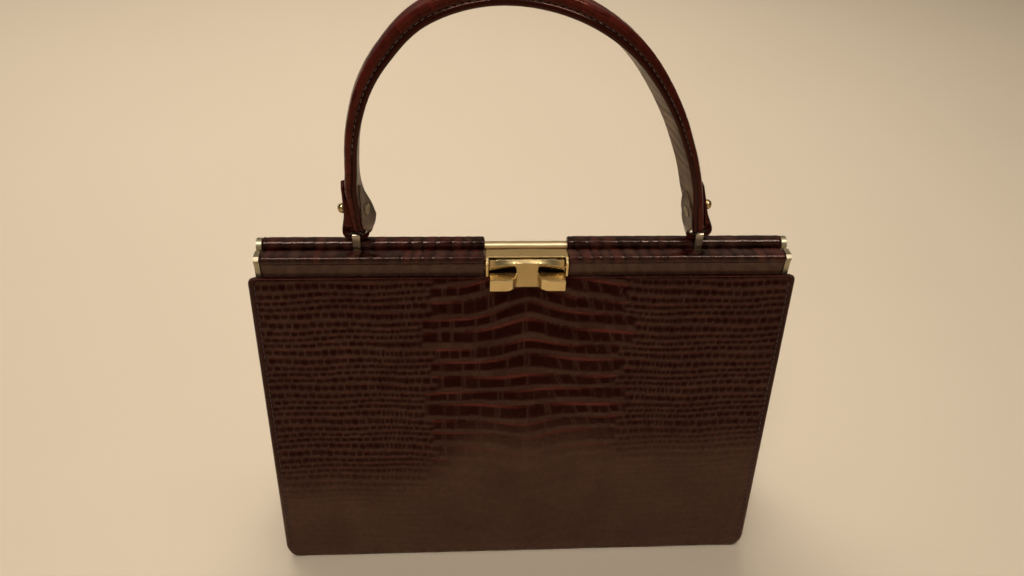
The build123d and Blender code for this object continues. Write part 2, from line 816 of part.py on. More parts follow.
# The frame of each foot: the bar's middle, the way up along the strap, and the side away from the arch.
tab_tops = {
    "left": arch_wire.position_at(tab_outer_height, position_mode=PositionMode.LENGTH),
    "right": arch_wire.position_at(arch_wire.length - tab_outer_height, position_mode=PositionMode.LENGTH),
}
outer_sides = {"left": -1, "right": 1}
foot_planes = {}
for end, place in loop_places.items():
    bar = Vector(place, back_bar_middle, loop_bar_middle)
    way_up = (tab_tops[end] - bar).normalized()
    foot_planes[end] = Plane(bar, x_dir=way_up.cross(Vector(0, -1, 0)), z_dir=(0, -1, 0))

# Rivet holes through the strap.
with BuildPart() as drilled_handle:
    add(handle.part)
    for end, foot in foot_planes.items():
        with BuildSketch(Plane(foot.origin, x_dir=(0, 1, 0), z_dir=foot.x_dir)):
            with Locations((0, rivet_height)):
                Circle(rivet_radius + pin_gap)
        extrude(amount=strap_thickness, both=True, mode=Mode.SUBTRACT)
write(drilled_handle.part, "handle")

# Tabs: leather folded under each loop's bar, with a leaf-shaped leg on each face of the strap. The leg
# on the outer face is the longer one.
tab_inside = strap_thickness / 2 + soft_gap
tab_outside = tab_inside + tab_thickness
tab_inner_bottom = -loop_metal_thickness / 2 - fold_gap
tab_outer_bottom = tab_inner_bottom - tab_thickness
for end, foot in foot_planes.items():
    side = outer_sides[end]
    with BuildPart() as tab:
        with BuildSketch(foot):
            with BuildLine():
                Polyline(
                    (side * tab_outside, tab_outer_height),
                    (side * tab_outside, tab_outer_bottom),
                    (-side * tab_outside, tab_outer_bottom),
                    (-side * tab_outside, tab_inner_height),
                    (-side * tab_inside, tab_inner_height),
                    (-side * tab_inside, tab_outer_height),
                    close=True,
                )
            make_face()
            fillet(vertices().group_by(Axis.Y)[0], radius=tab_fold_radius)
            with BuildSketch(mode=Mode.SUBTRACT):
                with BuildLine():
                    Polyline(
                        (side * tab_inside, tab_outer_height),
                        (side * tab_inside, tab_inner_bottom),
                        (-side * tab_inside, tab_inner_bottom),
                        (-side * tab_inside, tab_outer_height),
                        close=True,
                    )
                make_face()
                fillet(vertices().group_by(Axis.Y)[0], radius=tab_fold_radius - tab_thickness)
        extrude(amount=tab_leaf_width, both=True)
        with BuildSketch(Plane(foot.origin, x_dir=(0, 1, 0), z_dir=foot.x_dir)):
            with BuildLine():
                for half in (-1, 1):
                    Polyline(
                        (0, tab_outer_bottom),
                        (half * tab_waist / 2, tab_outer_bottom),
                        (half * tab_waist / 2, loop_metal_thickness),
                    )
                    ThreePointArc(
                        (half * tab_waist / 2, loop_metal_thickness),
                        (half * tab_leaf_width / 2, tab_leaf_height),
                        (half * tab_tip_width / 2, tab_outer_height),
                    )
                Line((-tab_tip_width / 2, tab_outer_height), (tab_tip_width / 2, tab_outer_height))
            make_face()
        extrude(amount=strap_width, both=True, mode=Mode.INTERSECT)
        with BuildSketch(Plane(foot.origin, x_dir=(0, 1, 0), z_dir=foot.x_dir)):
            with Locations((0, rivet_height)):
                Circle(rivet_radius + pin_gap)
        extrude(amount=strap_width, both=True, mode=Mode.SUBTRACT)
    write(tab.part, f"handle_tab_{end}")

# Rivets: a dome on the outer leg, a shank through the strap and a washer on the inner leg.
for end, foot in foot_planes.items():
    side = outer_sides[end]
    with BuildPart() as rivet:
        with BuildSketch(foot):
            with BuildLine():
                Polyline(
                    (-side * (tab_outside + seat_gap + washer_thickness), rivet_height),
                    (-side * (tab_outside + seat_gap + washer_thickness), rivet_height + washer_radius),
                    (-side * (tab_outside + seat_gap), rivet_height + washer_radius),
                    (-side * (tab_outside + seat_gap), rivet_height + rivet_radius),
                    (side * (tab_outside + seat_gap), rivet_height + rivet_radius),
                    (side * (tab_outside + seat_gap), rivet_height + rivet_head_radius),
                    (side * (tab_outside + seat_gap + rivet_head_height), rivet_height + rivet_crown),
                    (side * (tab_outside + seat_gap + rivet_head_height), rivet_height),
                    close=True,
                )
            make_face()
        rivet_line = Axis(foot.from_local_coords((0, rivet_height, 0)), foot.x_dir)
        revolve(axis=rivet_line)
    write(rivet.part, f"handle_rivet_{end}")
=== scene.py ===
import math

import bmesh
import bpy
import numpy as np
from mathutils import Matrix, Vector


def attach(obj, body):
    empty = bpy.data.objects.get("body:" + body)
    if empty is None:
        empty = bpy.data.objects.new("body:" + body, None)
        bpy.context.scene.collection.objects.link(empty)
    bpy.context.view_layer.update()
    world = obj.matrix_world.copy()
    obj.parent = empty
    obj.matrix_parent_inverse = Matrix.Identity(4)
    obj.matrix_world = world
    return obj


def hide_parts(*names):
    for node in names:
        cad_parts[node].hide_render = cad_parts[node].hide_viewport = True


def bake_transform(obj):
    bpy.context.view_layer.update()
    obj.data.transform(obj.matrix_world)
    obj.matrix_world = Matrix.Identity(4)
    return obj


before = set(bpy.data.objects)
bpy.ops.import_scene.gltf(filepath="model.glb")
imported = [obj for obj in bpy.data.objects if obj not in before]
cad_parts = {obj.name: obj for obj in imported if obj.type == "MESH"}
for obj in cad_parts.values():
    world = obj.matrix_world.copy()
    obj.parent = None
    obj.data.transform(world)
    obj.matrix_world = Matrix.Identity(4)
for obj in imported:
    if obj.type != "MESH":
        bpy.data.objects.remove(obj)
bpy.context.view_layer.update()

# Looks of the frame handbag: crocodile-grain leather skins, a padded handle, polished brass and a lining.
# Sizes are in millimetres, as in the part's source, and become metres where a mesh is made.
MM = 0.001

# Panels
PANEL_TOP_WIDTH = 270.0
PANEL_BOTTOM_WIDTH = 266.0
PANEL_HEIGHT = 178.0
PANEL_THICKNESS = 2.5
PANEL_FOOT_DEPTH = 38.0
PANEL_TOP_DEPTH = 11.0
PANEL_BOTTOM_RADIUS = 9.0
PANEL_TOP_RADIUS = 3.0
PANEL_SLOPE = (PANEL_FOOT_DEPTH - PANEL_TOP_DEPTH) / PANEL_HEIGHT
PANEL_LEAN = math.atan(PANEL_SLOPE)
SIDE_ROLL = 1.3
FOOT_ROLL = 2.4
TOP_ROLL = 0.7
PUFF = 0.7
SEAM_INSET = 3.2
SEAM_WIDTH = 0.45
SEAM_DEPTH = 0.22
SEAM_START = (6, 16)
FRONT_SPACING = 0.76
BACK_SPACING = 0.95
STITCH_PITCH = 3.2
STITCH_BOTTOM = 13.0

# Crocodile grain: fanned belly rows at the middle, two rows of small ovals for each of them on the flanks
BELLY_CENTRE = 1.5
BELLY_HALF = 50.0
BELLY_JITTER = 9.0
FLANK_PITCH = 4.15
FAN_GAIN = 2.0
FAN_TIP = 6.0
FAN_WIDTH = 20.0
FAN_LEVEL = 113.0
BELLY_CELL = 9.0
BELLY_EDGE_CELL = 5.2
FLANK_CELL = 4.0
GRAIN_DEPTH = 0.66
CELL_END = 0.65
BELLY_LINE = 0.52
FLANK_HALF_HEIGHT = 0.40
FADED_GRAIN = 0.14
GRAIN_TONE = 0.76
FADE_MIDDLE = 84.0
FADE_LEFT = 52.0
FADE_RIGHT = 74.0
FADE_SPAN = 40.0

# Frame, clasp and handle places
HINGE_HEIGHT = 146.0
FRAME_BOTTOM = 166.0
ARM_INSIDE = 128.6
CLASP_HALF = 20.5
HANDLE_DEPTH = 4.4
LOOP_BAR_HEIGHT = 195.0
LOOP_LEFT = -82.8
LOOP_RIGHT = 86.0
LOOP_HALF_WIDTH = 2.15
LOOP_LEG_BOTTOM = 183.0
STRAP_WIDTH = 12.6
STRAP_THICKNESS = 6.3
HANDLE_LEFT_RISE = 45.3
HANDLE_LEFT_RADIUS = 70.0
HANDLE_RIGHT_RADIUS = 80.0
HANDLE_RIGHT_ANGLE = 63.4
LEFT_TWIST_DEGREES = 17.0
RIGHT_TWIST_DEGREES = 22.0
LEFT_TWIST_FROM = 10.0
LEFT_TWIST_LENGTH = 36.0
RIGHT_TWIST_FROM = 60.0
RIGHT_TWIST_LENGTH = 150.0
LEFT_STRAIGHT = 8.0
RIGHT_STRAIGHT = 30.0
FOOT_LEAN = 0.6
LEFT_LEAN = 2.2
LEFT_LEAN_SPAN = (10, 28)
LEFT_BOW = 2.7
LEFT_BOW_RISE = (25, 68)
LEFT_BOW_FALL = (92, 122)
RIGHT_BOW = 1.8
RIGHT_BOW_RISE = (14, 46)
RIGHT_BOW_FALL = (60, 90)
FOOT_LEAN_LENGTH = 14.0
STRAP_CELL = 6.2
FOLD_PITCH = 7.0
STRAP_SWELL = 2.7
SWELL_START = 225.0
SWELL_END = 315.0


def smooth_step(low, high, value):
    """A smooth rise from 0 at low to 1 at high."""
    share = np.clip((value - low) / (high - low), 0, 1)
    return share * share * (3 - 2 * share)


def between(first, second, share):
    """A value at a share of the way from one to another."""
    return first + (second - first) * share


def ridge(distance, width):
    """A soft line's share at a distance from its middle."""
    return np.exp(-((distance / width) ** 2))


def hashed(first, second=0.0):
    """A fixed random share for each pair of whole numbers."""
    return np.modf(np.abs(np.sin(first * 12.9898 + second * 78.233 + 1.7) * 43758.5453))[0]


def noise_line(first, second):
    """A smooth share that wanders over two places in millimetres."""
    waves = np.sin(first / 3.1 + 0.7 * np.sin(second / 2.3)) + np.sin(first / 7.7 + second / 3.9)
    waves = waves + np.sin(first / 1.9 - second / 2.7)
    return 0.5 + waves / 6


def placed(name, data):
    """A new object in the scene."""
    obj = bpy.data.objects.new(name, data)
    bpy.context.scene.collection.objects.link(obj)
    return obj


def stand_in(obj, node, body):
    """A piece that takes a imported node's place, on the node's body."""
    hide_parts(node)
    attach(obj, body)
    return obj


def make_object(name, points, faces, material, attributes=None):
    """A mesh object from points in millimetres, with outward normals."""
    mesh = bpy.data.meshes.new(name)
    mesh.from_pydata((np.asarray(points, float).reshape(-1, 3) * MM).tolist(), [], faces)
    for label, values in (attributes or {}).items():
        layer = mesh.attributes.new(label, "FLOAT", "POINT")
        layer.data.foreach_set("value", np.asarray(values, np.float32).ravel())
    build = bmesh.new()
    build.from_mesh(mesh)
    bmesh.ops.recalc_face_normals(build, faces=build.faces)
    build.to_mesh(mesh)
    build.free()
    mesh.polygons.foreach_set("use_smooth", [True] * len(mesh.polygons))
    mesh.materials.append(material)
    mesh.update()
    return placed(name, mesh)


def grid_faces(rows, columns, start=0, closed=False):
    """Quads of a grid of points, row by row; closed joins the last column to the first."""
    row = np.arange(rows - 1)[:, None] * columns
    column = np.arange(columns if closed else columns - 1)[None, :]
    following = (column + 1) % columns
    quads = [row + column, row + following, row + columns + following, row + columns + column]
    return (np.stack(quads, axis=-1).reshape(-1, 4) + start).tolist()


def tube_faces(rings, columns, start=0):
    """Faces of a tube of rings of points, with both ends closed."""
    ends = [[start + ring * columns + k for k in range(columns)] for ring in (0, rings - 1)]
    return grid_faces(rings, columns, start, closed=True) + ends


def grid_outline(rows, columns):
    """Numbers of the points round a grid's outline."""
    outline = list(range(columns)) + [i * columns + columns - 1 for i in range(1, rows)]
    outline += [(rows - 1) * columns + j for j in range(columns - 2, -1, -1)]
    return outline + [i * columns for i in range(rows - 2, 0, -1)]


def shell(name, outer, inner, material, attributes=None):
    """A closed sheet between two grids of points of the same shape."""
    rows, columns = outer.shape[:2]
    count = rows * columns
    faces = grid_faces(rows, columns) + grid_faces(rows, columns, count)
    outline = grid_outline(rows, columns)
    for first, second in zip(outline, outline[1:] + outline[:1]):
        faces.append((first, second, second + count, first + count))
    doubled = {label: np.concatenate([np.ravel(v), np.ravel(v)]) for label, v in (attributes or {}).items()}
    points = np.concatenate([outer.reshape(-1, 3), inner.reshape(-1, 3)])
    return make_object(name, points, faces, material, doubled)


# Materials

def new_material(name):
    """A material with its node tree and its main shader."""
    material = bpy.data.materials.new(name)
    material.use_nodes = True
    return material, material.node_tree, material.node_tree.nodes["Principled BSDF"]


def feed(tree, node, inputs):
    """Sets a node's inputs; each value is a plain one or another node's output."""
    for socket, value in inputs.items():
        if isinstance(value, bpy.types.NodeSocket):
            tree.links.new(value, node.inputs[socket])
        else:
            node.inputs[socket].default_value = value


def add_node(tree, kind, inputs, **settings):
    """A new shader node with its settings and inputs."""
    node = tree.nodes.new("ShaderNode" + kind)
    for setting, value in settings.items():
        setattr(node, setting, value)
    feed(tree, node, inputs)
    return node


def own_place(tree):
    """The place in the part's own frame."""
    return add_node(tree, "TexCoord", {}).outputs["Object"]


def noise(tree, scale, detail=2.0, stretch=(1.0, 1.0, 1.0)):
    """The factor of a noise texture in the part's own frame; scale is in turns a metre."""
    place = add_node(tree, "Mapping", {"Vector": own_place(tree), "Scale": stretch}).outputs["Vector"]
    return add_node(tree, "TexNoise", {"Vector": place, "Scale": scale, "Detail": detail}).outputs["Fac"]


def spread(tree, value, low, high, start=0.3, end=0.7):
    """A value stretched to a range."""
    limits = {"From Min": start, "From Max": end, "To Min": low, "To Max": high}
    return add_node(tree, "MapRange", {"Value": value, **limits}).outputs["Result"]


def mixed(tree, factor, first, second, blend="MIX"):
    """A colour between two; each is a colour or another node's output."""
    first, second = [(*colour, 1.0) if isinstance(colour, tuple) else colour for colour in (first, second)]
    inputs = {"Factor": factor, 6: first, 7: second}
    return add_node(tree, "Mix", inputs, data_type="RGBA", blend_type=blend).outputs[2]


def bumped(tree, height, strength, distance):
    """A normal with fine relief; distance is in millimetres."""
    inputs = {"Strength": strength, "Distance": distance * MM, "Height": height}
    return add_node(tree, "Bump", inputs).outputs["Normal"]


def attribute(tree, label):
    """A value stored on the mesh."""
    return add_node(tree, "Attribute", {}, attribute_name=label).outputs["Fac"]


def leather(name, dark, light, rim, roughness, uneven, gloss_level, gloss_tint):
    """Glazed leather whose tone and painted rim highlights are stored on the mesh; uneven spreads the roughness."""
    material, tree, shader = new_material(name)
    tone = mixed(tree, attribute(tree, "tone"), dark, light)
    # The rim colour is a painted highlight, laid on where the mesh's rim share is high.
    rim_highlighted = mixed(tree, attribute(tree, "rim"), tone, rim)
    patch = spread(tree, noise(tree, 38.0, 4.0), 0.0, 0.5)
    feed(tree, shader, {
        "Base Color": mixed(tree, patch, rim_highlighted, (0.55, 0.52, 0.55), "MULTIPLY"),
        "Roughness": spread(tree, noise(tree, 260.0, 3.0), roughness - uneven / 2, roughness + uneven / 2),
        "Specular IOR Level": gloss_level,
        "Specular Tint": (*gloss_tint, 1.0),
        "Normal": bumped(tree, noise(tree, 1100.0, 3.0), 0.25, 0.12),
    })
    return material


def metal(name, bright, dull, roughness):
    """Polished metal with fine rubbing marks and a little tarnish."""
    material, tree, shader = new_material(name)
    tarnish = spread(tree, noise(tree, 120.0, 4.0), 0.0, 0.6, 0.35, 0.75)
    rubbed = noise(tree, 700.0, 4.0, (0.25, 1.0, 1.0))
    feed(tree, shader, {
        "Base Color": mixed(tree, tarnish, bright, dull),
        "Roughness": spread(tree, rubbed, roughness - 0.04, roughness + 0.06),
        "Metallic": 1.0,
        "Normal": bumped(tree, rubbed, 0.03, 0.05),
    })
    return material


def cloth(name, colour, shade, threads, roughness):
    """Woven cloth: two crossing sets of threads."""
    material, tree, shader = new_material(name)
    inputs = {"Vector": own_place(tree), "Scale": threads, "Distortion": 0.4}
    waves = [add_node(tree, "TexWave", inputs, bands_direction=way).outputs["Fac"] for way in ("X", "Z")]
    weave = add_node(tree, "Math", {0: waves[0], 1: waves[1]}, operation="MULTIPLY").outputs[0]
    patch = spread(tree, noise(tree, 45.0, 3.0), 0.0, 0.35)
    feed(tree, shader, {
        "Base Color": mixed(tree, patch, mixed(tree, weave, shade, colour), (0.6, 0.58, 0.55), "MULTIPLY"),
        "Roughness": roughness,
        "Sheen Weight": 0.25,
        "Normal": bumped(tree, weave, 0.5, 0.15),
    })
    return material


# Each leather's rim colour is a painted highlight for scale lips, roll tops and edges.
PANEL_LEATHER = leather(
    "panel_leather", dark=(0.011, 0.0008, 0.0006), light=(0.086, 0.046, 0.031), rim=(0.14, 0.034, 0.024),
    roughness=0.27, uneven=0.12, gloss_level=0.12, gloss_tint=(1.0, 0.30, 0.18),
)
FRAME_LEATHER = leather(
    "frame_leather", dark=(0.006, 0.0006, 0.0005), light=(0.078, 0.036, 0.023), rim=(0.14, 0.014, 0.010),
    roughness=0.20, uneven=0.18, gloss_level=0.36, gloss_tint=(1.0, 0.74, 0.62),
)
HANDLE_LEATHER = leather(
    "handle_leather", dark=(0.010, 0.0006, 0.0004), light=(0.098, 0.013, 0.007), rim=(0.20, 0.022, 0.012),
    roughness=0.20, uneven=0.16, gloss_level=0.36, gloss_tint=(1.0, 0.46, 0.34),
)
STRAP_LINING = leather(
    "strap_lining_leather", dark=(0.034, 0.018, 0.012), light=(0.29, 0.195, 0.125), rim=(0.03, 0.015, 0.010),
    roughness=0.40, uneven=0.1, gloss_level=0.18, gloss_tint=(1.0, 0.8, 0.6),
)
BRASS = metal("brass", (0.76, 0.57, 0.28), (0.60, 0.44, 0.20), 0.22)
# A lighter, rougher copy of the brass for the back frame: its lighter colour is painted light, standing for the
# brighter light on the frame's bar.
PAINTED_LIGHT_BRASS = metal("painted_light_brass", (0.92, 0.73, 0.44), (0.80, 0.61, 0.34), 0.32)
WORN_BRASS = metal("worn_brass", (0.48, 0.42, 0.29), (0.32, 0.28, 0.19), 0.42)
PALE_BRASS = metal("pale_brass", (0.70, 0.61, 0.45), (0.50, 0.43, 0.31), 0.32)
AGED_BRASS = metal("aged_brass", (0.30, 0.25, 0.16), (0.18, 0.14, 0.08), 0.45)
STEEL = metal("spring_steel", (0.58, 0.58, 0.57), (0.42, 0.41, 0.40), 0.3)
LINING = cloth("lining_fabric", (0.20, 0.12, 0.075), (0.10, 0.058, 0.036), 260.0, 0.75)
BOARD = cloth("fibre_board", (0.42, 0.31, 0.20), (0.30, 0.22, 0.14), 90.0, 0.85)
THREAD = cloth("thread", (0.040, 0.014, 0.012), (0.022, 0.008, 0.007), 900.0, 0.6)
STRAP_THREAD = cloth("strap_thread", (0.135, 0.070, 0.040), (0.07, 0.035, 0.02), 900.0, 0.6)


# Crocodile grain

def belly_width(away):
    """A belly scale's width at a distance from the belly's centre line."""
    return between(BELLY_CELL, BELLY_EDGE_CELL, smooth_step(4, BELLY_HALF, away))


def belly_columns(away):
    """How many belly scales lie between the belly's centre line and a distance from it."""
    reach = np.linspace(0, PANEL_TOP_WIDTH, 400)
    counted = np.concatenate([[0], np.cumsum((reach[1:] - reach[:-1]) / belly_width(reach)[1:])])
    return np.interp(away, reach, counted)


def grain(x, z, seed=0.0):
    """Relief, tone and painted rim highlight shares of the crocodile grain on a panel."""
    off = x - BELLY_CENTRE
    away = np.abs(off)
    fan = np.exp((FAN_TIP - np.sqrt(away**2 + FAN_TIP**2)) / FAN_WIDTH)
    wander = 0.06 * np.sin(x / 19.0 + seed) + 0.05 * np.sin(x / 7.3 + z / 19.0 + 2 * seed)
    row = (FAN_LEVEL - z) / (2 * FLANK_PITCH + FAN_GAIN * fan) + wander
    row = row + 0.09 * np.sin(2.6 * row + x / 40.0 + seed)
    belly_row = np.floor(row)
    down = row - belly_row
    belly_edge = BELLY_HALF + BELLY_JITTER * (hashed(belly_row, seed) - 0.5)
    # Belly scales: dark tiles with a lip above, thin lines between them and a sloping band below. The band's
    # lighter tone is a painted sheen, a reflection of the floor, and each lip carries a painted highlight.
    column = np.sign(off) * belly_columns(away) + hashed(belly_row, seed + 3.0)
    slanting = 0.45 * (down - 0.3) * smooth_step(2, 18, off)
    column += 0.16 * np.sin(7.0 * belly_row + 2.1 * np.floor(column)) - slanting
    cell = np.floor(column)
    across = column - cell
    line_gap = np.minimum(across, 1 - across) * belly_width(away)
    line = ridge(line_gap, BELLY_LINE) * (0.45 + 0.55 * hashed(cell + 0.3, belly_row))
    end = CELL_END + 0.14 * (hashed(cell, belly_row) - 0.5)
    band_sheen = smooth_step(end - 0.06, end + 0.10, down)
    belly_relief = smooth_step(0.0, 0.10, down) * (1 - smooth_step(0.58, 1.0, down)) * (1 - 0.55 * line)
    belly_tone = np.maximum(band_sheen * (0.65 + 0.35 * hashed(belly_row, cell)), 0.75 * line * (1 - band_sheen))
    belly_tone = belly_tone + 0.10 * hashed(cell, belly_row)
    belly_lip_highlight = ridge(down - 0.05, 0.07) * (0.55 + 0.45 * np.sin(x / 9.0 + 4 * belly_row))
    # Flank scales: small dark ovals, two rows to each belly row, with a painted highlight along the top of each
    # row.
    small_row = np.floor(2 * row)
    small_down = 2 * row - small_row
    small_width = FLANK_CELL + 1.4 * smooth_step(80, BELLY_HALF, away)
    small_column = off / small_width + 0.5 * np.mod(small_row, 2) + 0.35 * hashed(small_row, seed)
    small_cell = np.floor(small_column)
    small_across = small_column - small_cell
    size = 0.72 + 0.40 * hashed(small_cell, small_row)
    middle = 0.42 + 0.10 * (hashed(small_row, small_cell) - 0.5)
    radius = np.abs((small_down - middle) / FLANK_HALF_HEIGHT) ** 2.4 + np.abs(2 * small_across - 1) ** 4.5
    spot = np.clip(1 - radius / size, 0, 1) ** 0.5
    flank_relief = 0.25 + 0.75 * spot
    flank_tone = 0.76 + 0.20 * hashed(small_row, small_cell + 2.0) - 0.80 * spot
    flank_lip_highlight = 0.45 * ridge(small_down - 0.02, 0.10) * hashed(small_cell, small_row + 5.0)
    flank = smooth_step(-1.5, 1.5, away - belly_edge)
    relief = between(belly_relief, flank_relief, flank)
    tone = between(belly_tone, flank_tone, flank)
    rim = between(belly_lip_highlight, flank_lip_highlight, flank)
    return relief, np.clip(tone, 0, 1), np.clip(rim, 0, 1)


def grain_strength(x, z):
    """How strong the grain is: it fades towards the foot, later on the flanks."""
    left = smooth_step(20, 70, -x)
    right = smooth_step(20, 70, x)
    level = FADE_MIDDLE + (FADE_LEFT - FADE_MIDDLE) * left + (FADE_RIGHT - FADE_MIDDLE) * right
    return FADED_GRAIN + (1 - FADED_GRAIN) * smooth_step(level - FADE_SPAN / 2, level + FADE_SPAN / 2, z)


def panel_half_width(z):
    """Half the panel's width at a height, with its rounded corners."""
    half = (PANEL_BOTTOM_WIDTH + (PANEL_TOP_WIDTH - PANEL_BOTTOM_WIDTH) * z / PANEL_HEIGHT) / 2
    low = np.clip(PANEL_BOTTOM_RADIUS - z, 0, None)
    high = np.clip(z - PANEL_HEIGHT + PANEL_TOP_RADIUS, 0, None)
    half = half - PANEL_BOTTOM_RADIUS + np.sqrt(PANEL_BOTTOM_RADIUS**2 - low**2)
    return half - PANEL_TOP_RADIUS + np.sqrt(np.clip(PANEL_TOP_RADIUS**2 - high**2, 0, None))


def rolled(distance, radius):
    """How far a rounded edge falls back at a distance from the outline."""
    short = np.clip(radius - distance, 0, radius)
    return radius - np.sqrt(radius**2 - short**2)


def panel_skin(name, side, spacing, seed):
    """Front or back panel: grained leather over board, with rolled edges and a flat back."""
    rows = int(PANEL_HEIGHT / spacing) + 1
    columns = int(PANEL_TOP_WIDTH / spacing) + 1
    z = np.linspace(0, PANEL_HEIGHT, rows)[:, None] + np.zeros((1, columns))
    half = panel_half_width(z)
    x = np.linspace(-1, 1, columns)[None, :] * half
    to_side = half - np.abs(x)
    relief, tone, rim = grain(-side * x, z, seed)
    border = smooth_step(SEAM_INSET - 1.0, SEAM_INSET + 1.6, to_side)
    faded = grain_strength(-side * x, z)
    strength = border * faded * (0.35 + 0.65 * smooth_step(0.5, 2.5, PANEL_HEIGHT - z))
    seam = ridge(to_side - SEAM_INSET, SEAM_WIDTH) * smooth_step(*SEAM_START, z)
    puff = PUFF * np.sin(np.pi * z / PANEL_HEIGHT) * (1 - (x / half) ** 4)
    fall = rolled(to_side, SIDE_ROLL) + rolled(z, FOOT_ROLL) + rolled(PANEL_HEIGHT - z, TOP_ROLL)
    rise = puff + GRAIN_DEPTH * (relief - 1) * strength - SEAM_DEPTH * seam - np.minimum(fall, FOOT_ROLL)
    normal = np.array([0, side * math.cos(PANEL_LEAN), math.sin(PANEL_LEAN)])
    flat = np.stack([x, side * (PANEL_FOOT_DEPTH - PANEL_SLOPE * z), z], axis=-1)
    outer = flat + rise[..., None] * normal
    behind = flat - PANEL_THICKNESS * normal
    behind[..., 2] = np.clip(behind[..., 2], 0, None)
    outer[..., 2] = np.clip(outer[..., 2], 0, None)
    faces = grid_faces(rows, columns)
    # The back: its outline, walls to it, and one long face for each row.
    outline = grid_outline(rows, columns)
    number = {point: rows * columns + k for k, point in enumerate(outline)}
    for first, second in zip(outline, outline[1:] + outline[:1]):
        faces.append((first, second, number[second], number[first]))
    left = [number[i * columns] for i in range(rows)]
    right = [number[i * columns + columns - 1] for i in range(rows)]
    for i in range(1, rows - 2):
        faces.append((left[i], right[i], right[i + 1], left[i + 1]))
    for row, beside in ((0, 1), (rows - 1, rows - 2)):
        faces.append([number[row * columns + j] for j in range(columns)] + [right[beside], left[beside]])
    points = np.concatenate([outer.reshape(-1, 3), behind.reshape(-1, 3)[outline]])
    # Lighter along the side edges and in a band just above the foot.
    edge_lightening = 0.22 * np.exp(-to_side / 1.2) + 0.5 * smooth_step(9, 2, z) * smooth_step(0.4, 2.5, z)
    # Where the grain fades towards the foot the leather is painted lighter brown, a painted sheen that stands for a
    # reflection of the floor; the strips outside the side seams are lighter too.
    plain = (1 - faded) + 0.35 * faded * (1 - border)
    tone = GRAIN_TONE * tone * strength + plain * (1 - 0.85 * seam) + edge_lightening
    # The rim share is a painted highlight on the grain's lips.
    shades = {
        "tone": np.concatenate([np.clip(tone, 0, 1).ravel(), np.full(len(outline), 0.2)]),
        "rim": np.concatenate([(rim * strength).ravel(), np.zeros(len(outline))]),
    }
    skin = make_object(name, points, faces, PANEL_LEATHER, shades)
    return skin


def panel_point(side, x, z, out=0.0):
    """A point on a panel's face, with a height over it."""
    puff = PUFF * math.sin(math.pi * z / PANEL_HEIGHT) * (1 - (x / float(panel_half_width(np.array(z)))) ** 4)
    place = Vector((x, side * (PANEL_FOOT_DEPTH - PANEL_SLOPE * z), z))
    return place + Vector((0, side * math.cos(PANEL_LEAN), math.sin(PANEL_LEAN))) * float(out + puff)


def stitches(name, runs, material, radius=0.28, gap_share=0.28):
    """Sewing thread: one small rounded bar for each pair of points of each run."""
    ring, along = 6, (0.0, 0.16, 0.5, 0.84, 1.0)
    points, faces = [], []
    for start, end in runs:
        start, end = Vector(start), Vector(end)
        way = (end - start) * (1 - gap_share)
        start = start + (end - start) * gap_share / 2
        side = way.normalized().orthogonal().normalized()
        other = way.normalized().cross(side)
        first = len(points)
        for share in along:
            thick = radius * (0.35 + 0.65 * math.sin(math.pi * min(max(share, 0.12), 0.88)))
            for k in range(ring):
                turn = 2 * math.pi * k / ring
                points.append(start + share * way + thick * (math.cos(turn) * side + math.sin(turn) * other))
        faces += tube_faces(len(along), ring, first)
    return make_object(name, [tuple(p) for p in points], faces, material)


def panel_stitch_runs(side):
    """Stitch ends along both sides of a panel."""
    runs = []
    low, high = STITCH_BOTTOM, PANEL_HEIGHT - SEAM_INSET
    levels = np.linspace(low, high, int((high - low) / STITCH_PITCH) + 1)
    for sign in (-1, 1):
        line = [(sign * (float(panel_half_width(np.array(z))) - SEAM_INSET), z) for z in levels]
        runs += list(zip(line[:-1], line[1:]))
    under = -SEAM_DEPTH * 0.4
    return [(panel_point(side, *a, under), panel_point(side, *b, under)) for a, b in runs]


front_panel_skin = panel_skin("front_panel_skin", -1, FRONT_SPACING, 0.0)
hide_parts("front_panel")
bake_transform(front_panel_skin)
front_stitches = stitches("front_panel_stitches", panel_stitch_runs(-1), THREAD)
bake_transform(front_stitches)

back_panel_skin = panel_skin("back_panel_skin", 1, BACK_SPACING, 4.0)
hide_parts("back_panel")
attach(back_panel_skin, "bag_body")
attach(stitches("back_panel_stitches", panel_stitch_runs(1), THREAD), "bag_body")


# Sides: one soft pleat each, in a front and a back half that part above the hinge.
SIDE_BOTTOM = 14.1
SIDE_TOP = 174.0
SIDE_FOOT_HALF = 131.56
SIDE_TOP_HALF = 133.0
SIDE_THICKNESS = 1.1
PLEAT_DEPTH = 15.0
PLEAT_BOTTOM = 16.0
PLEAT_HEIGHT = 104.0
PLEAT_TOP = 139.0
SIDE_SPACING = 1.1
SIDE_GRAIN_PLACE = 60.0
SIDE_GRAIN_DEPTH = 0.3


def inside_half_depth(z):
    """Half the room between the panels at a height."""
    return PANEL_FOOT_DEPTH - PANEL_THICKNESS - PANEL_SLOPE * z


def side_half_width(z):
    """Half the distance between the sides' outer faces at a height."""
    share = np.clip((z - SIDE_BOTTOM) / (PLEAT_TOP - SIDE_BOTTOM), 0, 1)
    return between(SIDE_FOOT_HALF, SIDE_TOP_HALF, share)


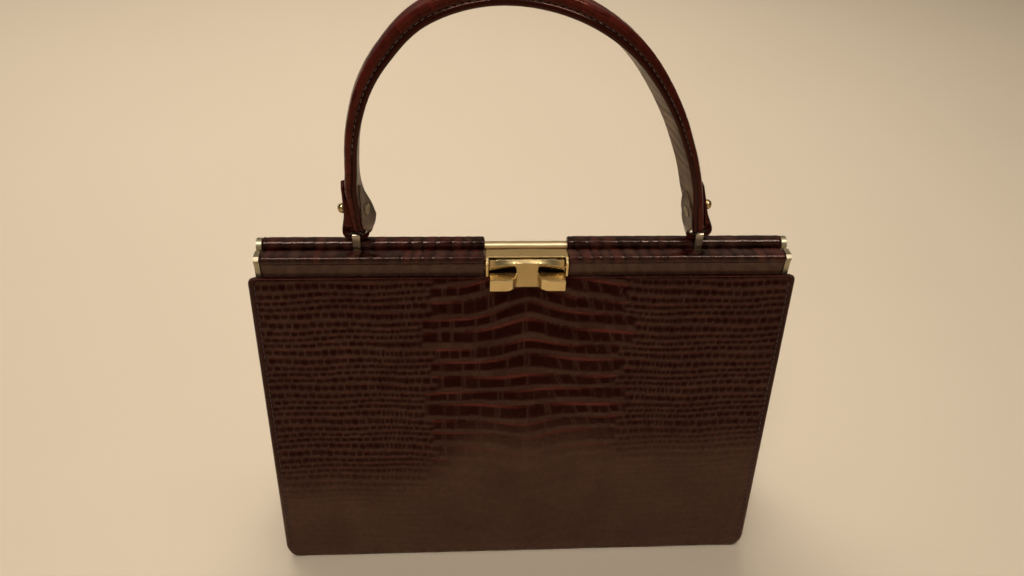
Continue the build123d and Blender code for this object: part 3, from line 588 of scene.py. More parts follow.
def gusset_half(name, side, half):
    """The front or back half of one side."""
    rows = int((SIDE_TOP - SIDE_BOTTOM) / SIDE_SPACING) + 1
    columns = int(PANEL_FOOT_DEPTH / SIDE_SPACING) + 1
    z = np.linspace(SIDE_BOTTOM, SIDE_TOP, rows)[:, None] + np.zeros((1, columns))
    reach = inside_half_depth(z) - 0.15
    parted = 0.3 * smooth_step(HINGE_HEIGHT - 6, HINGE_HEIGHT - 4, z)
    share = np.linspace(0, 1, columns)[None, :]
    y = half * between(parted, reach, share)
    deep = PLEAT_DEPTH * smooth_step(PLEAT_BOTTOM, PLEAT_HEIGHT, z) * (1 - smooth_step(PLEAT_HEIGHT, PLEAT_TOP, z))
    slant = np.sqrt(share**2 + 0.006)
    dent = deep * np.clip(1 - slant, 0, 1) ** 1.15
    wave = 0.35 * np.sin(z / 9.0 + 3 * share + side) * np.sin(np.pi * share) * smooth_step(PLEAT_TOP, 100, z)
    relief, tone, rim = grain(SIDE_GRAIN_PLACE + y + 7 * side, z - 3 * share, 2.0 + side)
    strength = smooth_step(0.0, 2.0, reach - np.abs(y)) * (0.5 + 0.5 * smooth_step(30, 80, z))
    x = side * (side_half_width(z) - dent - wave + SIDE_GRAIN_DEPTH * (relief - 1) * strength)
    outer = np.stack([x, y, z], axis=-1)
    inner = outer.copy()
    inner[..., 0] -= side * SIDE_THICKNESS
    # The rim share is a painted highlight on the grain's lips.
    shades = {"tone": tone * strength + 0.3 * (1 - strength), "rim": 0.6 * rim * strength}
    skin = shell(name, outer, inner, PANEL_LEATHER, shades)
    return skin


for side, end in ((-1, "left"), (1, "right")):
    front_part = gusset_half(f"gusset_{end}_front_skin", side, -1)
    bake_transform(front_part)
    back_part = gusset_half(f"gusset_{end}_back_skin", side, 1)
    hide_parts(f"gusset_{end}")
    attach(back_part, "bag_body")


# Base: leather turned up at both ends.
BASE_HALF = 131.4
BASE_TURN_UP = 14.0
BASE_RADIUS = 7.4
BASE_THICKNESS = 1.9
BASE_GRAIN_LEVEL = 60.0
BASE_GRAIN_DEPTH = 0.28


def base_path():
    """Outline of the base leather, in x and z, with the normals that point inwards."""
    corner = np.linspace(0, np.pi / 2, 10)
    rise = np.linspace(BASE_TURN_UP, BASE_RADIUS, 7)[:-1]
    left = [(-BASE_HALF, z, 1.0, 0.0) for z in rise]
    left += [
        (-BASE_HALF + BASE_RADIUS * (1 - math.cos(t)), BASE_RADIUS * (1 - math.sin(t)), math.cos(t), math.sin(t))
        for t in corner
    ]
    middle = [(x, 0.0, 0.0, 1.0) for x in np.linspace(-BASE_HALF + BASE_RADIUS, BASE_HALF - BASE_RADIUS, 150)[1:-1]]
    right = [(-x, z, -nx, nz) for x, z, nx, nz in reversed(left)]
    return np.array(left + middle + right)


def base_skin():
    """The base leather, with grain on its outer side."""
    path = base_path()[None]
    share = np.linspace(-1, 1, 48)[:, None]
    x = path[..., 0] + 0 * share
    z = path[..., 1] + 0 * share
    y = share * (inside_half_depth(z) - 0.2)
    relief, tone, rim = grain(x, y + BASE_GRAIN_LEVEL, 6.0)
    edge = smooth_step(0, 3, inside_half_depth(z) - np.abs(y))
    depths = (BASE_GRAIN_DEPTH * (1 - relief * edge), BASE_THICKNESS)
    sheets = [np.stack([x + path[..., 2] * depth, y, z + path[..., 3] * depth], axis=-1) for depth in depths]
    # The rim share is a painted highlight on the grain's lips.
    return shell("base_skin", *sheets, PANEL_LEATHER, {"tone": tone * 0.8 + 0.1, "rim": 0.4 * rim})


stand_in(base_skin(), "base_panel", "bag_body")


# Leather on the frame
def cut_corners(points, times):
    """A rounder line through the same run of points, with its ends kept."""
    line = np.array(points, float)
    for _ in range(times):
        quarter = 0.75 * line[:-1] + 0.25 * line[1:]
        three = 0.25 * line[:-1] + 0.75 * line[1:]
        line = np.concatenate([line[:1], np.stack([quarter, three], axis=1).reshape(-1, 2), line[-1:]])
    return line


def lengths(line):
    """The length along a line so far, at each of its points."""
    return np.concatenate([[0], np.cumsum(np.linalg.norm(np.diff(line, axis=0), axis=1))])


def directions(line):
    """Unit vectors along a line in a plane and to its left."""
    way = np.gradient(line, axis=0)
    way /= np.linalg.norm(way, axis=1, keepdims=True)
    return way, np.stack([-way[:, 1], way[:, 0]], axis=-1)


def evenly(line, step):
    """Points a step apart along a line."""
    run = lengths(line)
    places = np.linspace(0, run[-1], int(run[-1] / step) + 1)
    return np.stack([np.interp(places, run, line[:, k]) for k in (0, 1)], axis=-1)


FRONT_COVER_OUTER = [
    (-8.2, 166.0), (-8.2, 178.0), (-8.2, 184.2), (-8.9, 185.0), (-9.1, 186.4), (-8.6, 188.2), (-6.6, 188.7),
    (-3.4, 188.6), (-1.2, 188.3), (-0.45, 187.7), (-0.45, 187.1),
]
FRONT_COVER_INNER = ((-7.15, 187.05), (-7.15, 166.0))
BACK_COVER_OUTER = [
    (0.45, 184.1), (0.45, 187.0), (0.6, 189.6), (2.2, 191.2), (4.3, 191.5), (6.5, 191.2), (8.0, 189.4),
    (8.2, 186.6), (8.2, 178.0), (8.2, 166.0),
]
BACK_COVER_INNER = ((7.1, 166.0), (7.1, 186.4), (4.4, 189.0), (1.7, 186.4), (1.7, 184.1))
COVER_CELL = 6.6
COVER_CREASE_WIDTH = 0.5
COVER_CREASE_DEPTH = 0.14
COVER_WAVE_DEPTH = 0.05
COVER_END_ROLL = 1.3
COVER_END = ARM_INSIDE - 0.1
ROLL_FOOT = (183.5, 186.0)
SLOT_WALL = 0.12
SLOT_TOP = 190.5
SLOT_BOTTOM = LOOP_LEG_BOTTOM - 0.3
SLOT_DEPTHS = (1.72, 7.08)


def cover_skin(name, side, outer_points, inner_points, loop, seed):
    """Padded leather along one half of the frame, with cross creases and, at a loop, a slot."""
    line = evenly(cut_corners(outer_points, 2), 0.55)
    section = np.concatenate([line, np.array(inner_points)])
    places = set(np.linspace(CLASP_HALF, COVER_END, 190))
    if loop is not None:
        slot = LOOP_HALF_WIDTH
        places |= {side * loop + d for d in (-slot - SLOT_WALL, -slot, slot, slot + SLOT_WALL)}
    along = np.array(sorted(places))[:, None]
    to_end = np.minimum(along - CLASP_HALF, COVER_END - along)
    across = np.arange(len(section))[None, :]
    on_outer = (across < len(line)).astype(float)
    column = along / COVER_CELL + 0.34 * np.sin(along / 9.3 + seed) + 0.18 * np.sin(along / 4.1 + 2 * seed)
    column = column + 0.012 * across
    cell = np.floor(column)
    gap = np.minimum(column - cell, 1 - column + cell) * COVER_CELL
    crease = ridge(gap, COVER_CREASE_WIDTH) * np.clip(1.5 * hashed(cell, seed) - 0.35, 0, 1)
    on_roll = smooth_step(*ROLL_FOOT, section[None, :, 1])
    strength = on_outer * (0.25 + 0.75 * on_roll) * smooth_step(0.3, 2.0, to_end)
    pillow = np.clip(gap / COVER_CELL * 2, 0, 1) ** 0.6
    wave = np.sin(along / 0.83 + 0.31 * across) + np.sin(along / 1.37 - 0.23 * across + seed)
    wave = wave + np.sin(along / 2.3 + 0.5 * across)
    sink = (COVER_CREASE_DEPTH * crease + COVER_WAVE_DEPTH * (1 + wave / 3) + 0.05 * (1 - pillow)) * strength
    sink = sink + on_outer * rolled(to_end, COVER_END_ROLL) * 0.55
    # The leather sinks towards the inside of its section.
    outward = directions(section)[1]
    y = section[None, :, 0] - sink * outward[None, :, 0] * on_outer
    z = section[None, :, 1] - sink * outward[None, :, 1] * on_outer
    if loop is not None:
        slotted = (np.abs(along - side * loop) < slot + 0.01) & (z < SLOT_TOP) & (z > SLOT_BOTTOM)
        y = np.where(slotted, np.clip(y, *SLOT_DEPTHS), y)
    points = np.stack([side * along + 0 * y, y, z], axis=-1)
    faces = tube_faces(*points.shape[:2])
    tone = np.clip(0.02 + 0.34 * pillow * hashed(cell, seed + 1) - 0.4 * crease + 0.06 * wave, 0, 1)
    flat_face = (1 - on_roll) * on_outer
    tone = np.clip(tone * np.ones_like(y) + 0.66 * flat_face, 0, 1)
    # A painted highlight, in red, on the middles of the scales on the rolls.
    rim = on_roll * on_outer * 0.25 * pillow * hashed(cell, seed + 7)
    return make_object(name, points, faces, FRAME_LEATHER, {"tone": tone, "rim": rim + 0 * tone})


for side, end, loop in ((-1, "left", LOOP_LEFT), (1, "right", LOOP_RIGHT)):
    for half, body, outer, inner, slot_at, seed in (
        ("front", "front_half", FRONT_COVER_OUTER, FRONT_COVER_INNER, None, 1.0 + side),
        ("back", "bag_body", BACK_COVER_OUTER, BACK_COVER_INNER, loop, 4.0 + side),
    ):
        cover = cover_skin(f"{half}_cover_{end}_skin", side, outer, inner, slot_at, seed)
        stand_in(cover, f"{half}_frame_cover_{end}", body)


# Metal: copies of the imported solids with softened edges
SHARP_EDGE = math.radians(28)
FRAME_ROUNDING = 0.35


def metal_copy(node, material):
    """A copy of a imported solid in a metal."""
    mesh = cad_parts[node].data.copy()
    mesh.materials.clear()
    mesh.materials.append(material)
    return placed(f"{node}_metal", mesh)


def softened(node, body, material, width):
    """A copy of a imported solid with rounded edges, in its place."""
    obj = metal_copy(node, material)
    mesh = obj.data
    build = bmesh.new()
    build.from_mesh(mesh)
    bmesh.ops.remove_doubles(build, verts=build.verts, dist=0.002 * MM)
    bmesh.ops.dissolve_limit(build, angle_limit=math.radians(1.0), verts=build.verts, edges=build.edges)
    for line in build.edges:
        line.smooth = line.calc_face_angle(0.0) < SHARP_EDGE
    build.to_mesh(mesh)
    build.free()
    mesh.polygons.foreach_set("use_smooth", [True] * len(mesh.polygons))
    bevel = obj.modifiers.new("soft_edges", "BEVEL")
    bevel.width = width * MM
    bevel.segments = 3
    bevel.limit_method = "ANGLE"
    bevel.angle_limit = SHARP_EDGE
    bevel.use_clamp_overlap = True
    bevel.harden_normals = True
    return stand_in(obj, node, body)


def cast(node, body, material, cell, passes):
    """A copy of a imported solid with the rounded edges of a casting, in its place."""
    obj = metal_copy(node, material)
    remesh = obj.modifiers.new("fine_mesh", "REMESH")
    remesh.mode = "VOXEL"
    remesh.voxel_size = cell * MM
    remesh.use_smooth_shade = True
    soften = obj.modifiers.new("soft_edges", "SMOOTH")
    soften.factor = 0.5
    soften.iterations = passes
    stand_in(obj, node, body)


# The back frame takes the painted-light brass, lighter to stand for the light on its bar.
for node, body, gilt in (("front_frame", "front_half", BRASS), ("back_frame", "bag_body", PAINTED_LIGHT_BRASS)):
    half_frame = softened(node, body, gilt, FRAME_ROUNDING)
    half_frame.data.materials.append(WORN_BRASS)
    for polygon in half_frame.data.polygons:
        if abs(polygon.center.x) > (ARM_INSIDE - 1.0) * MM:
            polygon.material_index = 1
cast("clasp_housing", "front_half", BRASS, cell=0.22, passes=3)
cast("clasp_lever", "lever", BRASS, cell=0.20, passes=6)
for end in ("left", "right"):
    cast(f"handle_loop_{end}", "bag_body", PALE_BRASS, cell=0.18, passes=8)

# Hidden pieces keep their solids.
for material, kept_nodes in (
    (BRASS, ("hinge_pin_left", "hinge_pin_right", "clasp_pivot_pins")),
    (STEEL, ("lever_springs", "catch_spring")),
    (BOARD, ("base_board",)),
):
    for node in kept_nodes:
        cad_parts[node].data.materials.clear()
        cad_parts[node].data.materials.append(material)


# Handle
ARCH_STEP = 1.2


def arc(centre, radius, start, end, count):
    """Points of an arc after its first one, in x and z."""
    turns = np.linspace(start, end, count)[1:]
    return [(centre[0] + radius * math.cos(t), centre[1] + radius * math.sin(t)) for t in turns]


def arch_path():
    """Points along the handle's middle line, in x and z."""
    points = [(LOOP_LEFT, LOOP_BAR_HEIGHT), (LOOP_LEFT, LOOP_BAR_HEIGHT + HANDLE_LEFT_RISE)]
    centre = (LOOP_LEFT + HANDLE_LEFT_RADIUS, points[-1][1])
    points += arc(centre, HANDLE_LEFT_RADIUS, math.pi, math.pi / 2, 60)
    top = points[-1]
    turn = math.radians(HANDLE_RIGHT_ANGLE)
    centre = (top[0], top[1] - HANDLE_RIGHT_RADIUS)
    points += arc(centre, HANDLE_RIGHT_RADIUS, math.pi / 2, math.pi / 2 - turn, 50)
    # The last stretch leaves along the tangent and ends at the right loop's bar.
    start = np.array(points[-1])
    way = np.array([math.cos(turn), -math.sin(turn)])
    across = np.array([-way[1], way[0]])
    chord = np.array([LOOP_RIGHT, LOOP_BAR_HEIGHT]) - start
    radius = chord @ chord / (2 * (chord @ across))
    middle = start + radius * across
    sweep = 2 * math.atan2(chord @ across, chord @ way)
    arm, square = start - middle, np.array([middle[1] - start[1], start[0] - middle[0]])
    points += [tuple(middle + (arm * math.cos(t) + square * math.sin(t))) for t in np.linspace(0, sweep, 40)[1:]]
    return evenly(np.array(points), ARCH_STEP)


arch = arch_path()
arch_run = lengths(arch)
arch_length = arch_run[-1]
arch_way, arch_out = directions(arch)


def left_lean(run):
    """How far the strap leans inwards at its left foot."""
    return LEFT_LEAN * (1 - smooth_step(*LEFT_LEAN_SPAN, run))


def strap_frames():
    """Middle, outward and sideways vectors along the strap: near the feet its inner face turns to the front."""
    to_end = arch_length - arch_run
    left = smooth_step(0, LEFT_STRAIGHT, arch_run) * (1 - smooth_step(LEFT_TWIST_FROM, LEFT_TWIST_LENGTH, arch_run))
    right = smooth_step(2, RIGHT_STRAIGHT, to_end) * (1 - smooth_step(RIGHT_TWIST_FROM, RIGHT_TWIST_LENGTH, to_end))
    turn = -np.radians(LEFT_TWIST_DEGREES * left + RIGHT_TWIST_DEGREES * right)
    zero = np.zeros_like(turn)
    outward = np.stack([arch_out[:, 0], zero, arch_out[:, 1]], axis=-1)
    front = np.stack([zero, zero - 1, zero], axis=-1)
    # The soft strap sags a little to the right in the middle of both legs.
    bow = LEFT_BOW * smooth_step(*LEFT_BOW_RISE, arch_run) * (1 - smooth_step(*LEFT_BOW_FALL, arch_run))
    bow = bow + RIGHT_BOW * smooth_step(*RIGHT_BOW_RISE, to_end) * (1 - smooth_step(*RIGHT_BOW_FALL, to_end))
    bow = bow + left_lean(arch_run)
    middle = np.stack([arch[:, 0] + bow, zero + HANDLE_DEPTH, arch[:, 1]], axis=-1)
    cosine, sine = np.cos(turn)[:, None], np.sin(turn)[:, None]
    return middle, outward * cosine + front * sine, front * cosine - outward * sine


strap_middle, strap_out, strap_front = strap_frames()
SEAM_LEVEL = -0.8
SEAM_HALF = 0.3
SEAM_CUT = 0.6
LAYER_BULGE = 0.2
STRAP_OUTER_CORNER = 2.0
STRAP_INNER_CORNER = 1.1
STRAP_CROWN = 0.35
STRAP_CREASE = 0.5
STRAP_SIDE_CELL = 4.2
STRAP_START = 2.7


def strap_section():
    """The strap's section: a domed outer layer, a thinner inner layer and a seam between them on both edges.
    It gives the places towards the front, the heights towards the outside and the seam's shares."""
    half, thick = STRAP_WIDTH / 2, STRAP_THICKNESS / 2
    low, high = STRAP_INNER_CORNER - thick, thick - STRAP_CROWN - STRAP_OUTER_CORNER
    inner_flat, outer_flat = half - STRAP_INNER_CORNER, half - STRAP_OUTER_CORNER
    turn = np.linspace(0, math.pi / 2, 8)[1:-1]
    line = [(a, -thick) for a in np.linspace(0, inner_flat, 8)]
    line += [(inner_flat + STRAP_INNER_CORNER * math.sin(t), low - STRAP_INNER_CORNER * math.cos(t)) for t in turn]
    line += [(half, level) for level in np.linspace(low, high, 13)]
    line += [(outer_flat + STRAP_OUTER_CORNER * math.cos(t), high + STRAP_OUTER_CORNER * math.sin(t)) for t in turn]
    line += [(a, thick - STRAP_CROWN * (a / outer_flat) ** 2) for a in np.linspace(outer_flat, 0, 10)]
    line = np.array(line + [(-a, level) for a, level in line[-2:0:-1]])
    across, raised = line[:, 0], line[:, 1]
    on_side = smooth_step(outer_flat - 0.2, half - 0.4, np.abs(across))
    seam = ridge(raised - SEAM_LEVEL, SEAM_HALF) * on_side
    over = raised - SEAM_LEVEL
    layer = np.where(over > 0, over / (thick - SEAM_LEVEL), -over / (SEAM_LEVEL + thick))
    bulge = LAYER_BULGE * np.sin(np.pi * np.clip(layer, 0, 1)) * on_side
    return across + np.sign(across) * (bulge - SEAM_CUT * seam), raised, seam


across, raised, seam = strap_section()
along = arch_run[:, None]
wide, high = across[None, :], raised[None, :]
swell = STRAP_SWELL * smooth_step(SWELL_START, SWELL_END, arch[:, 1])


def swollen(level, extra):
    """A height on the strap's section once its outer side has swelled."""
    return level + (level + STRAP_THICKNESS / 2) * extra / STRAP_THICKNESS


on_outer = smooth_step(SEAM_LEVEL - 0.1, SEAM_LEVEL + 0.3, high)
on_inner_face = high < -STRAP_THICKNESS / 2 + 0.05
# Scales on the outer layer, and slanting folds on the inner face, most of all on the right leg.
row = along / STRAP_CELL + 0.3 * np.sin(along / 21.0) + 0.1 * np.sin(along / 5.3 + wide / 3)
strap_cell = np.floor(row)
down = row - strap_cell
lines = ridge(np.minimum(down, 1 - down) * STRAP_CELL, STRAP_CREASE) * (0.3 + 0.7 * hashed(strap_cell, 2.0))
side_cell = wide / STRAP_SIDE_CELL + 0.5 * np.mod(strap_cell, 2)
side_gap = np.abs(side_cell - np.round(side_cell)) * STRAP_SIDE_CELL
side_lines = ridge(side_gap, STRAP_CREASE) * (high > 1.6)
crease = np.maximum(0.8 * lines, 0.55 * side_lines) * on_outer
to_foot = np.minimum(along, arch_length - along)
slanted = along - 0.75 * wide + 1.2 * np.sin(along / 5.0 + wide / 4.0)
slant = np.mod(slanted, FOLD_PITCH) - FOLD_PITCH / 2
fold_share = np.clip(1.9 * hashed(np.floor(slanted / FOLD_PITCH), 5.0) - 0.5, 0, 1)
fold_line = ridge(slant, STRAP_CREASE) * on_inner_face * fold_share
fold_line = fold_line * (smooth_step(120, 60, arch_length - along) + 0.25)
shrink = smooth_step(3.4, 1.2, to_foot) * 0.35
sink = 0.14 * crease + 0.16 * fold_line
leaned = strap_middle - strap_out * (FOOT_LEAN * (1 - smooth_step(2, FOOT_LEAN_LENGTH, to_foot)))
lifted = (swollen(high, swell[:, None]) - np.sign(high) * sink) * (1 - shrink)
strap_points = (
    leaned[:, None, :]
    + strap_front[:, None, :] * (wide * (1 - shrink))[..., None]
    + strap_out[:, None, :] * lifted[..., None]
)
first = int(np.searchsorted(arch_run, STRAP_START))
kept = slice(first, len(arch) - first)
# The outer layer is painted lighter towards its outside: a painted sheen, the reflection of the light.
outer_layer_sheen = smooth_step(0.6, 1.8, high)
scale_tone = 0.15 + 0.35 * outer_layer_sheen + 0.35 * hashed(strap_cell, np.floor(side_cell))
strap_tone = 0.10 + on_outer * scale_tone - 0.5 * crease - 0.7 * seam[None, :]
front_shade = 0.34 * smooth_step(0.5, 5.5, wide)
# The inner face's tone: painted shade towards the front and in the folds, and tone that wanders at random.
inner_tone = 0.80 - front_shade + 0.6 * (noise_line(along, wide) - 0.5) - 1.2 * np.sqrt(fold_line)
strap_tone = np.where(on_inner_face, inner_tone, strap_tone)
# A painted highlight along the top edge of each scale row on the outer layer.
strap_scale_highlight = 0.22 * ridge(down - 0.12, 0.1) * on_outer * (high > 0.5)
handle_skin = make_object(
    "handle_skin", strap_points[kept], tube_faces(*strap_points[kept].shape[:2]), HANDLE_LEATHER,
    {"tone": np.clip(strap_tone, 0, 1)[kept], "rim": strap_scale_highlight[kept]},
)
handle_skin.data.materials.append(STRAP_LINING)
inner_columns = raised < -STRAP_THICKNESS / 2 + 0.2
for polygon in handle_skin.data.polygons:
    if len(polygon.vertices) == 4 and all(inner_columns[v % len(raised)] for v in polygon.vertices):
        polygon.material_index = 1
stand_in(handle_skin, "handle", "bag_body")


def strap_at(run, table):
    """A row of one of the strap's tables at each length along it."""
    return np.stack([np.interp(run, arch_run, table[:, k]) for k in range(3)], axis=-1)


def strap_place(run, across_place, raised_place):
    """A point on the strap at a length along it."""
    level = swollen(raised_place, float(np.interp(run, arch_run, swell)))
    spot = strap_at(run, leaned) + across_place * strap_at(run, strap_front) + level * strap_at(run, strap_out)
    return Vector(spot)


STITCH_START = 44.0
runs = []
for sign in (-1, 1):
    spots = np.arange(STITCH_START, arch_length - STITCH_START, STITCH_PITCH)
    line = [strap_place(run, sign * (STRAP_WIDTH / 2 - SEAM_CUT + 0.25), SEAM_LEVEL) for run in spots]
    runs += list(zip(line[:-1], line[1:]))
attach(stitches("handle_stitches", runs, STRAP_THREAD, 0.26, 0.36), "bag_body")


# Tabs: leather folded under each loop's bar, leaf-shaped on both faces of the strap.
TAB_THICKNESS = 1.7
TAB_OUTER_HEIGHT = 28.0
TAB_INNER_HEIGHT = 26.0
TAB_WAIST = 4.8
TAB_LEAF_WIDTH = 14.2
TAB_LEAF_HEIGHT = 7.5
TAB_OUTER_SHARE = 0.72
TAB_OUTER_TIP = 5.0
TAB_INNER_TIP = 1.6
TAB_BOTTOM = -2.1
TAB_BULGE = 1.7
RIVET_HEIGHT = 13.5
TAB_GAP = 0.02
LEAF_THINNING = 0.85
LEAF_START = 4.0


def foot_place(end, height, out_by, front_by):
    """Points at one foot, by height along the strap over the bar, place outwards and place to the front."""
    height = np.asarray(height, float)
    over = np.clip(height, 0, None)
    run = over if end == "left" else arch_length - over
    way = arch_way[0] if end == "left" else -arch_way[-1]
    below = np.clip(height, None, 0)[..., None] * np.array([way[0], 0, way[1]])
    out, front = strap_at(run, strap_out), strap_at(run, strap_front)
    middle = strap_at(run, strap_middle)
    if end == "left":
        # The outer leg hangs straight from the loop, and the strap leans away from it.
        straight = np.maximum(smooth_step(-1.0, 2.5, np.asarray(out_by)), smooth_step(4, 0, height))[..., None]
        middle = middle - straight * left_lean(over)[..., None] * np.array([1.0, 0.0, 0.0])
        out = between(out, np.array([-1.0, 0.0, 0.0]), straight)
        front = between(front, np.array([0.0, -1.0, 0.0]), straight)
    return middle + below + out * np.asarray(out_by)[..., None] + front * np.asarray(front_by)[..., None]


def leaf_half_width(height, top, tip, bow):
    """Half a leaf's width at a height over the bar, for the height and half width of its tip."""
    low = TAB_WAIST / 2 + (TAB_LEAF_WIDTH - TAB_WAIST) / 2 * smooth_step(0.0, TAB_LEAF_HEIGHT, height)
    past = np.clip((height - TAB_LEAF_HEIGHT) / (top - TAB_LEAF_HEIGHT), 0, 1)
    return between(low, tip, past**bow)


def tab_skin(end, stand_off, curl_by):
    """One tab: it bulges round the bar, its outer tip stands a little off the strap, and its inner leaf curls."""
    reach = STRAP_THICKNESS / 2 + TAB_GAP + TAB_THICKNESS / 2
    wide = reach + TAB_BULGE
    outer_leg = [(reach + stand_off, TAB_OUTER_HEIGHT), (reach + 0.35 * stand_off, 23)]
    outer_leg += [(reach, RIVET_HEIGHT + 1), (reach, 11)]
    bend = [(reach + 0.45 * TAB_BULGE, 7), (wide, 3.2), (wide, -0.2)]
    bend += [(0.72 * wide, TAB_BOTTOM), (0.3 * wide, TAB_BOTTOM)]
    inner_leg = [(reach, 11), (reach, RIVET_HEIGHT + 1), (reach, TAB_INNER_HEIGHT)]
    profile = outer_leg + bend + [(-d, h) for d, h in reversed(bend)] + [(-d, h) for d, h in inner_leg]
    line = evenly(cut_corners(profile, 3), 0.7)
    normal = directions(line)[1]
    level = line[:, 1]
    on_inner = line[:, 0] < 0
    # Half widths, with rounded tips.
    outer_half = TAB_OUTER_SHARE * leaf_half_width(level, TAB_OUTER_HEIGHT, TAB_OUTER_TIP, 1.7)
    inner_half = leaf_half_width(level, TAB_INNER_HEIGHT, TAB_INNER_TIP, 1.15)
    half = np.maximum(np.where(line[:, 0] > 0, outer_half, inner_half), np.where(level < 3, TAB_WAIST / 2, 0))
    tip_outer = np.clip((TAB_OUTER_HEIGHT - level) / 3.0, 0, 1)
    tip_inner = np.clip((TAB_INNER_HEIGHT - level) / 3.5, 0, 1)
    half = half * np.sqrt(np.clip(1 - (1 - np.where(on_inner, tip_inner, tip_outer)) ** 2, 0.04, 1))
    share = np.linspace(-1, 1, 21)[None, :]
    thin = TAB_THICKNESS / 2 * np.sqrt(np.clip(1 - np.abs(share) ** 8, 0.05, 1))
    thin_leaf = 1 - LEAF_THINNING * (on_inner * smooth_step(4, 9, level))[:, None]
    # The inner leaf's free edges curl off the strap.
    flared = smooth_step(2, 8, level) * smooth_step(TAB_INNER_HEIGHT, 12, level)
    curl = np.where(on_inner, curl_by, 0.0)[:, None] * np.clip(0.35 - share, 0, 2) ** 2 * flared[:, None]
    # The sheet next to the strap lies on it, so that the bulge is solid.
    sheets = []
    for sign in (1, -1):
        place = line[:, None, :] + sign * normal[:, None, :] * (thin * (thin_leaf if sign > 0 else 1.0))[..., None]
        out_by, height = place[..., 0], place[..., 1]
        if sign < 0:
            lean = FOOT_LEAN * (1 - smooth_step(2, FOOT_LEAN_LENGTH, height))
            face = STRAP_THICKNESS / 2 + TAB_GAP
            free = between(out_by, np.clip(out_by, None, face + stand_off), smooth_step(24, 16, height))
            apart = left_lean(height) + 0.8 if end == "left" else 0.0
            filled = between(free, face - lean - apart, smooth_step(22, 15, height))
            out_by = np.where(height > 1.2, np.clip(free, -face - lean, np.minimum(free, filled)), out_by)
        sheets.append(foot_place(end, height, out_by - curl, half[:, None] * share))
    edge = 1 - np.abs(share)
    piped = ridge(edge * half[:, None] - 1.1, 0.3)
    worn = noise_line(level[:, None] * 1.4, half[:, None] * share * 1.4)
    leaf_tone = 0.12 + 0.30 * smooth_step(-0.5, 0.3, share) + 0.40 * (worn - 0.5)
    tone = 0.14 + on_inner[:, None] * leaf_tone - 0.1 * piped + 0.08 * smooth_step(0.2, 0.0, edge)
    # The tab's edges carry a faint painted rim highlight.
    shades = {"tone": np.clip(tone, 0, 1), "rim": 0.05 * smooth_step(0.12, 0.0, edge) + 0 * tone}
    skin = shell(f"handle_tab_{end}_skin", *sheets, HANDLE_LEATHER, shades)
    skin.data.materials.append(STRAP_LINING)
    columns = share.shape[1]
    on_leaf = on_inner & (level > LEAF_START)
    for polygon in skin.data.polygons:
        if all(on_leaf[v % (len(line) * columns) // columns] for v in polygon.vertices):
            polygon.material_index = 1
    stand_in(skin, f"handle_tab_{end}", "bag_body")


RIVET_SEGMENTS = 28
DOME_RADIUS = 2.5
WASHER = [(-0.15, 1.0), (-0.42, 1.4), (-0.5, 2.0), (-0.45, 2.6), (-0.25, 2.9), (0.0, 3.0), (0.05, 1.0), (2.0, 1.0)]


def turned(profile, origin, axis, start=0):
    """Points and faces of a turned piece: a profile of (height along the axis, radius), from end to end."""
    axis = Vector(axis).normalized()
    side = axis.orthogonal().normalized()
    other = axis.cross(side)
    points = []
    for height, radius in profile:
        for k in range(RIVET_SEGMENTS):
            t = 2 * math.pi * k / RIVET_SEGMENTS
            turned_side = math.cos(t) * side + math.sin(t) * other
            points.append(tuple(Vector(origin) + axis * float(height) + turned_side * float(radius)))
    return points, tube_faces(len(profile), RIVET_SEGMENTS, start)


for end, stand_off, curl_by, neck in (("left", 0.35, 0.5, 0.7), ("right", 0.15, 0.6, 1.2)):
    tab_skin(end, stand_off, curl_by)
    # The rivet's dome sits on the outer leg and its washer on the inner leaf, each square to its own leg.
    reach = STRAP_THICKNESS / 2 + TAB_GAP + TAB_THICKNESS
    ends = []
    for far in (reach, -reach):
        place = Vector(foot_place(end, RIVET_HEIGHT, far, 0.0))
        out = (Vector(foot_place(end, RIVET_HEIGHT, far * 1.1, 0.0)) - place).normalized()
        out = out * math.copysign(1.0, far)
        ends.append((place - out * far, out))
    dome = [(-1.0, 1.0), (reach, 1.0), (reach + 0.02, 2.3)]
    for t in np.linspace(0, math.pi / 2, 9):
        dome.append((reach + neck + DOME_RADIUS * math.sin(t), max(DOME_RADIUS * math.cos(t), 0.05)))
    inside = -reach + LEAF_THINNING * TAB_THICKNESS / 2 - 0.1
    washer = [(inside + rise, radius) for rise, radius in WASHER]
    points, faces = turned(dome, *ends[0])
    dome_faces = len(faces)
    more_points, more_faces = turned(washer, *ends[1], start=len(points))
    rivet = make_object(f"handle_rivet_{end}_metal", points + more_points, faces + more_faces, BRASS)
    rivet.data.materials.append(AGED_BRASS)
    for polygon in list(rivet.data.polygons)[dome_faces:]:
        polygon.material_index = 1
    stand_in(rivet, f"handle_rivet_{end}", "bag_body")


# Lining: a cloth pouch that hangs inside, with soft folds, and cloth facings from its rim up to the frame.
LINING_BOTTOM = 4.3
LINING_TOP = 137.6
LINING_FOOT_HALF = 122.0
LINING_PLEAT_HALF = 115.0
LINING_THICKNESS = 0.7
LINING_SQUARENESS = 0.18


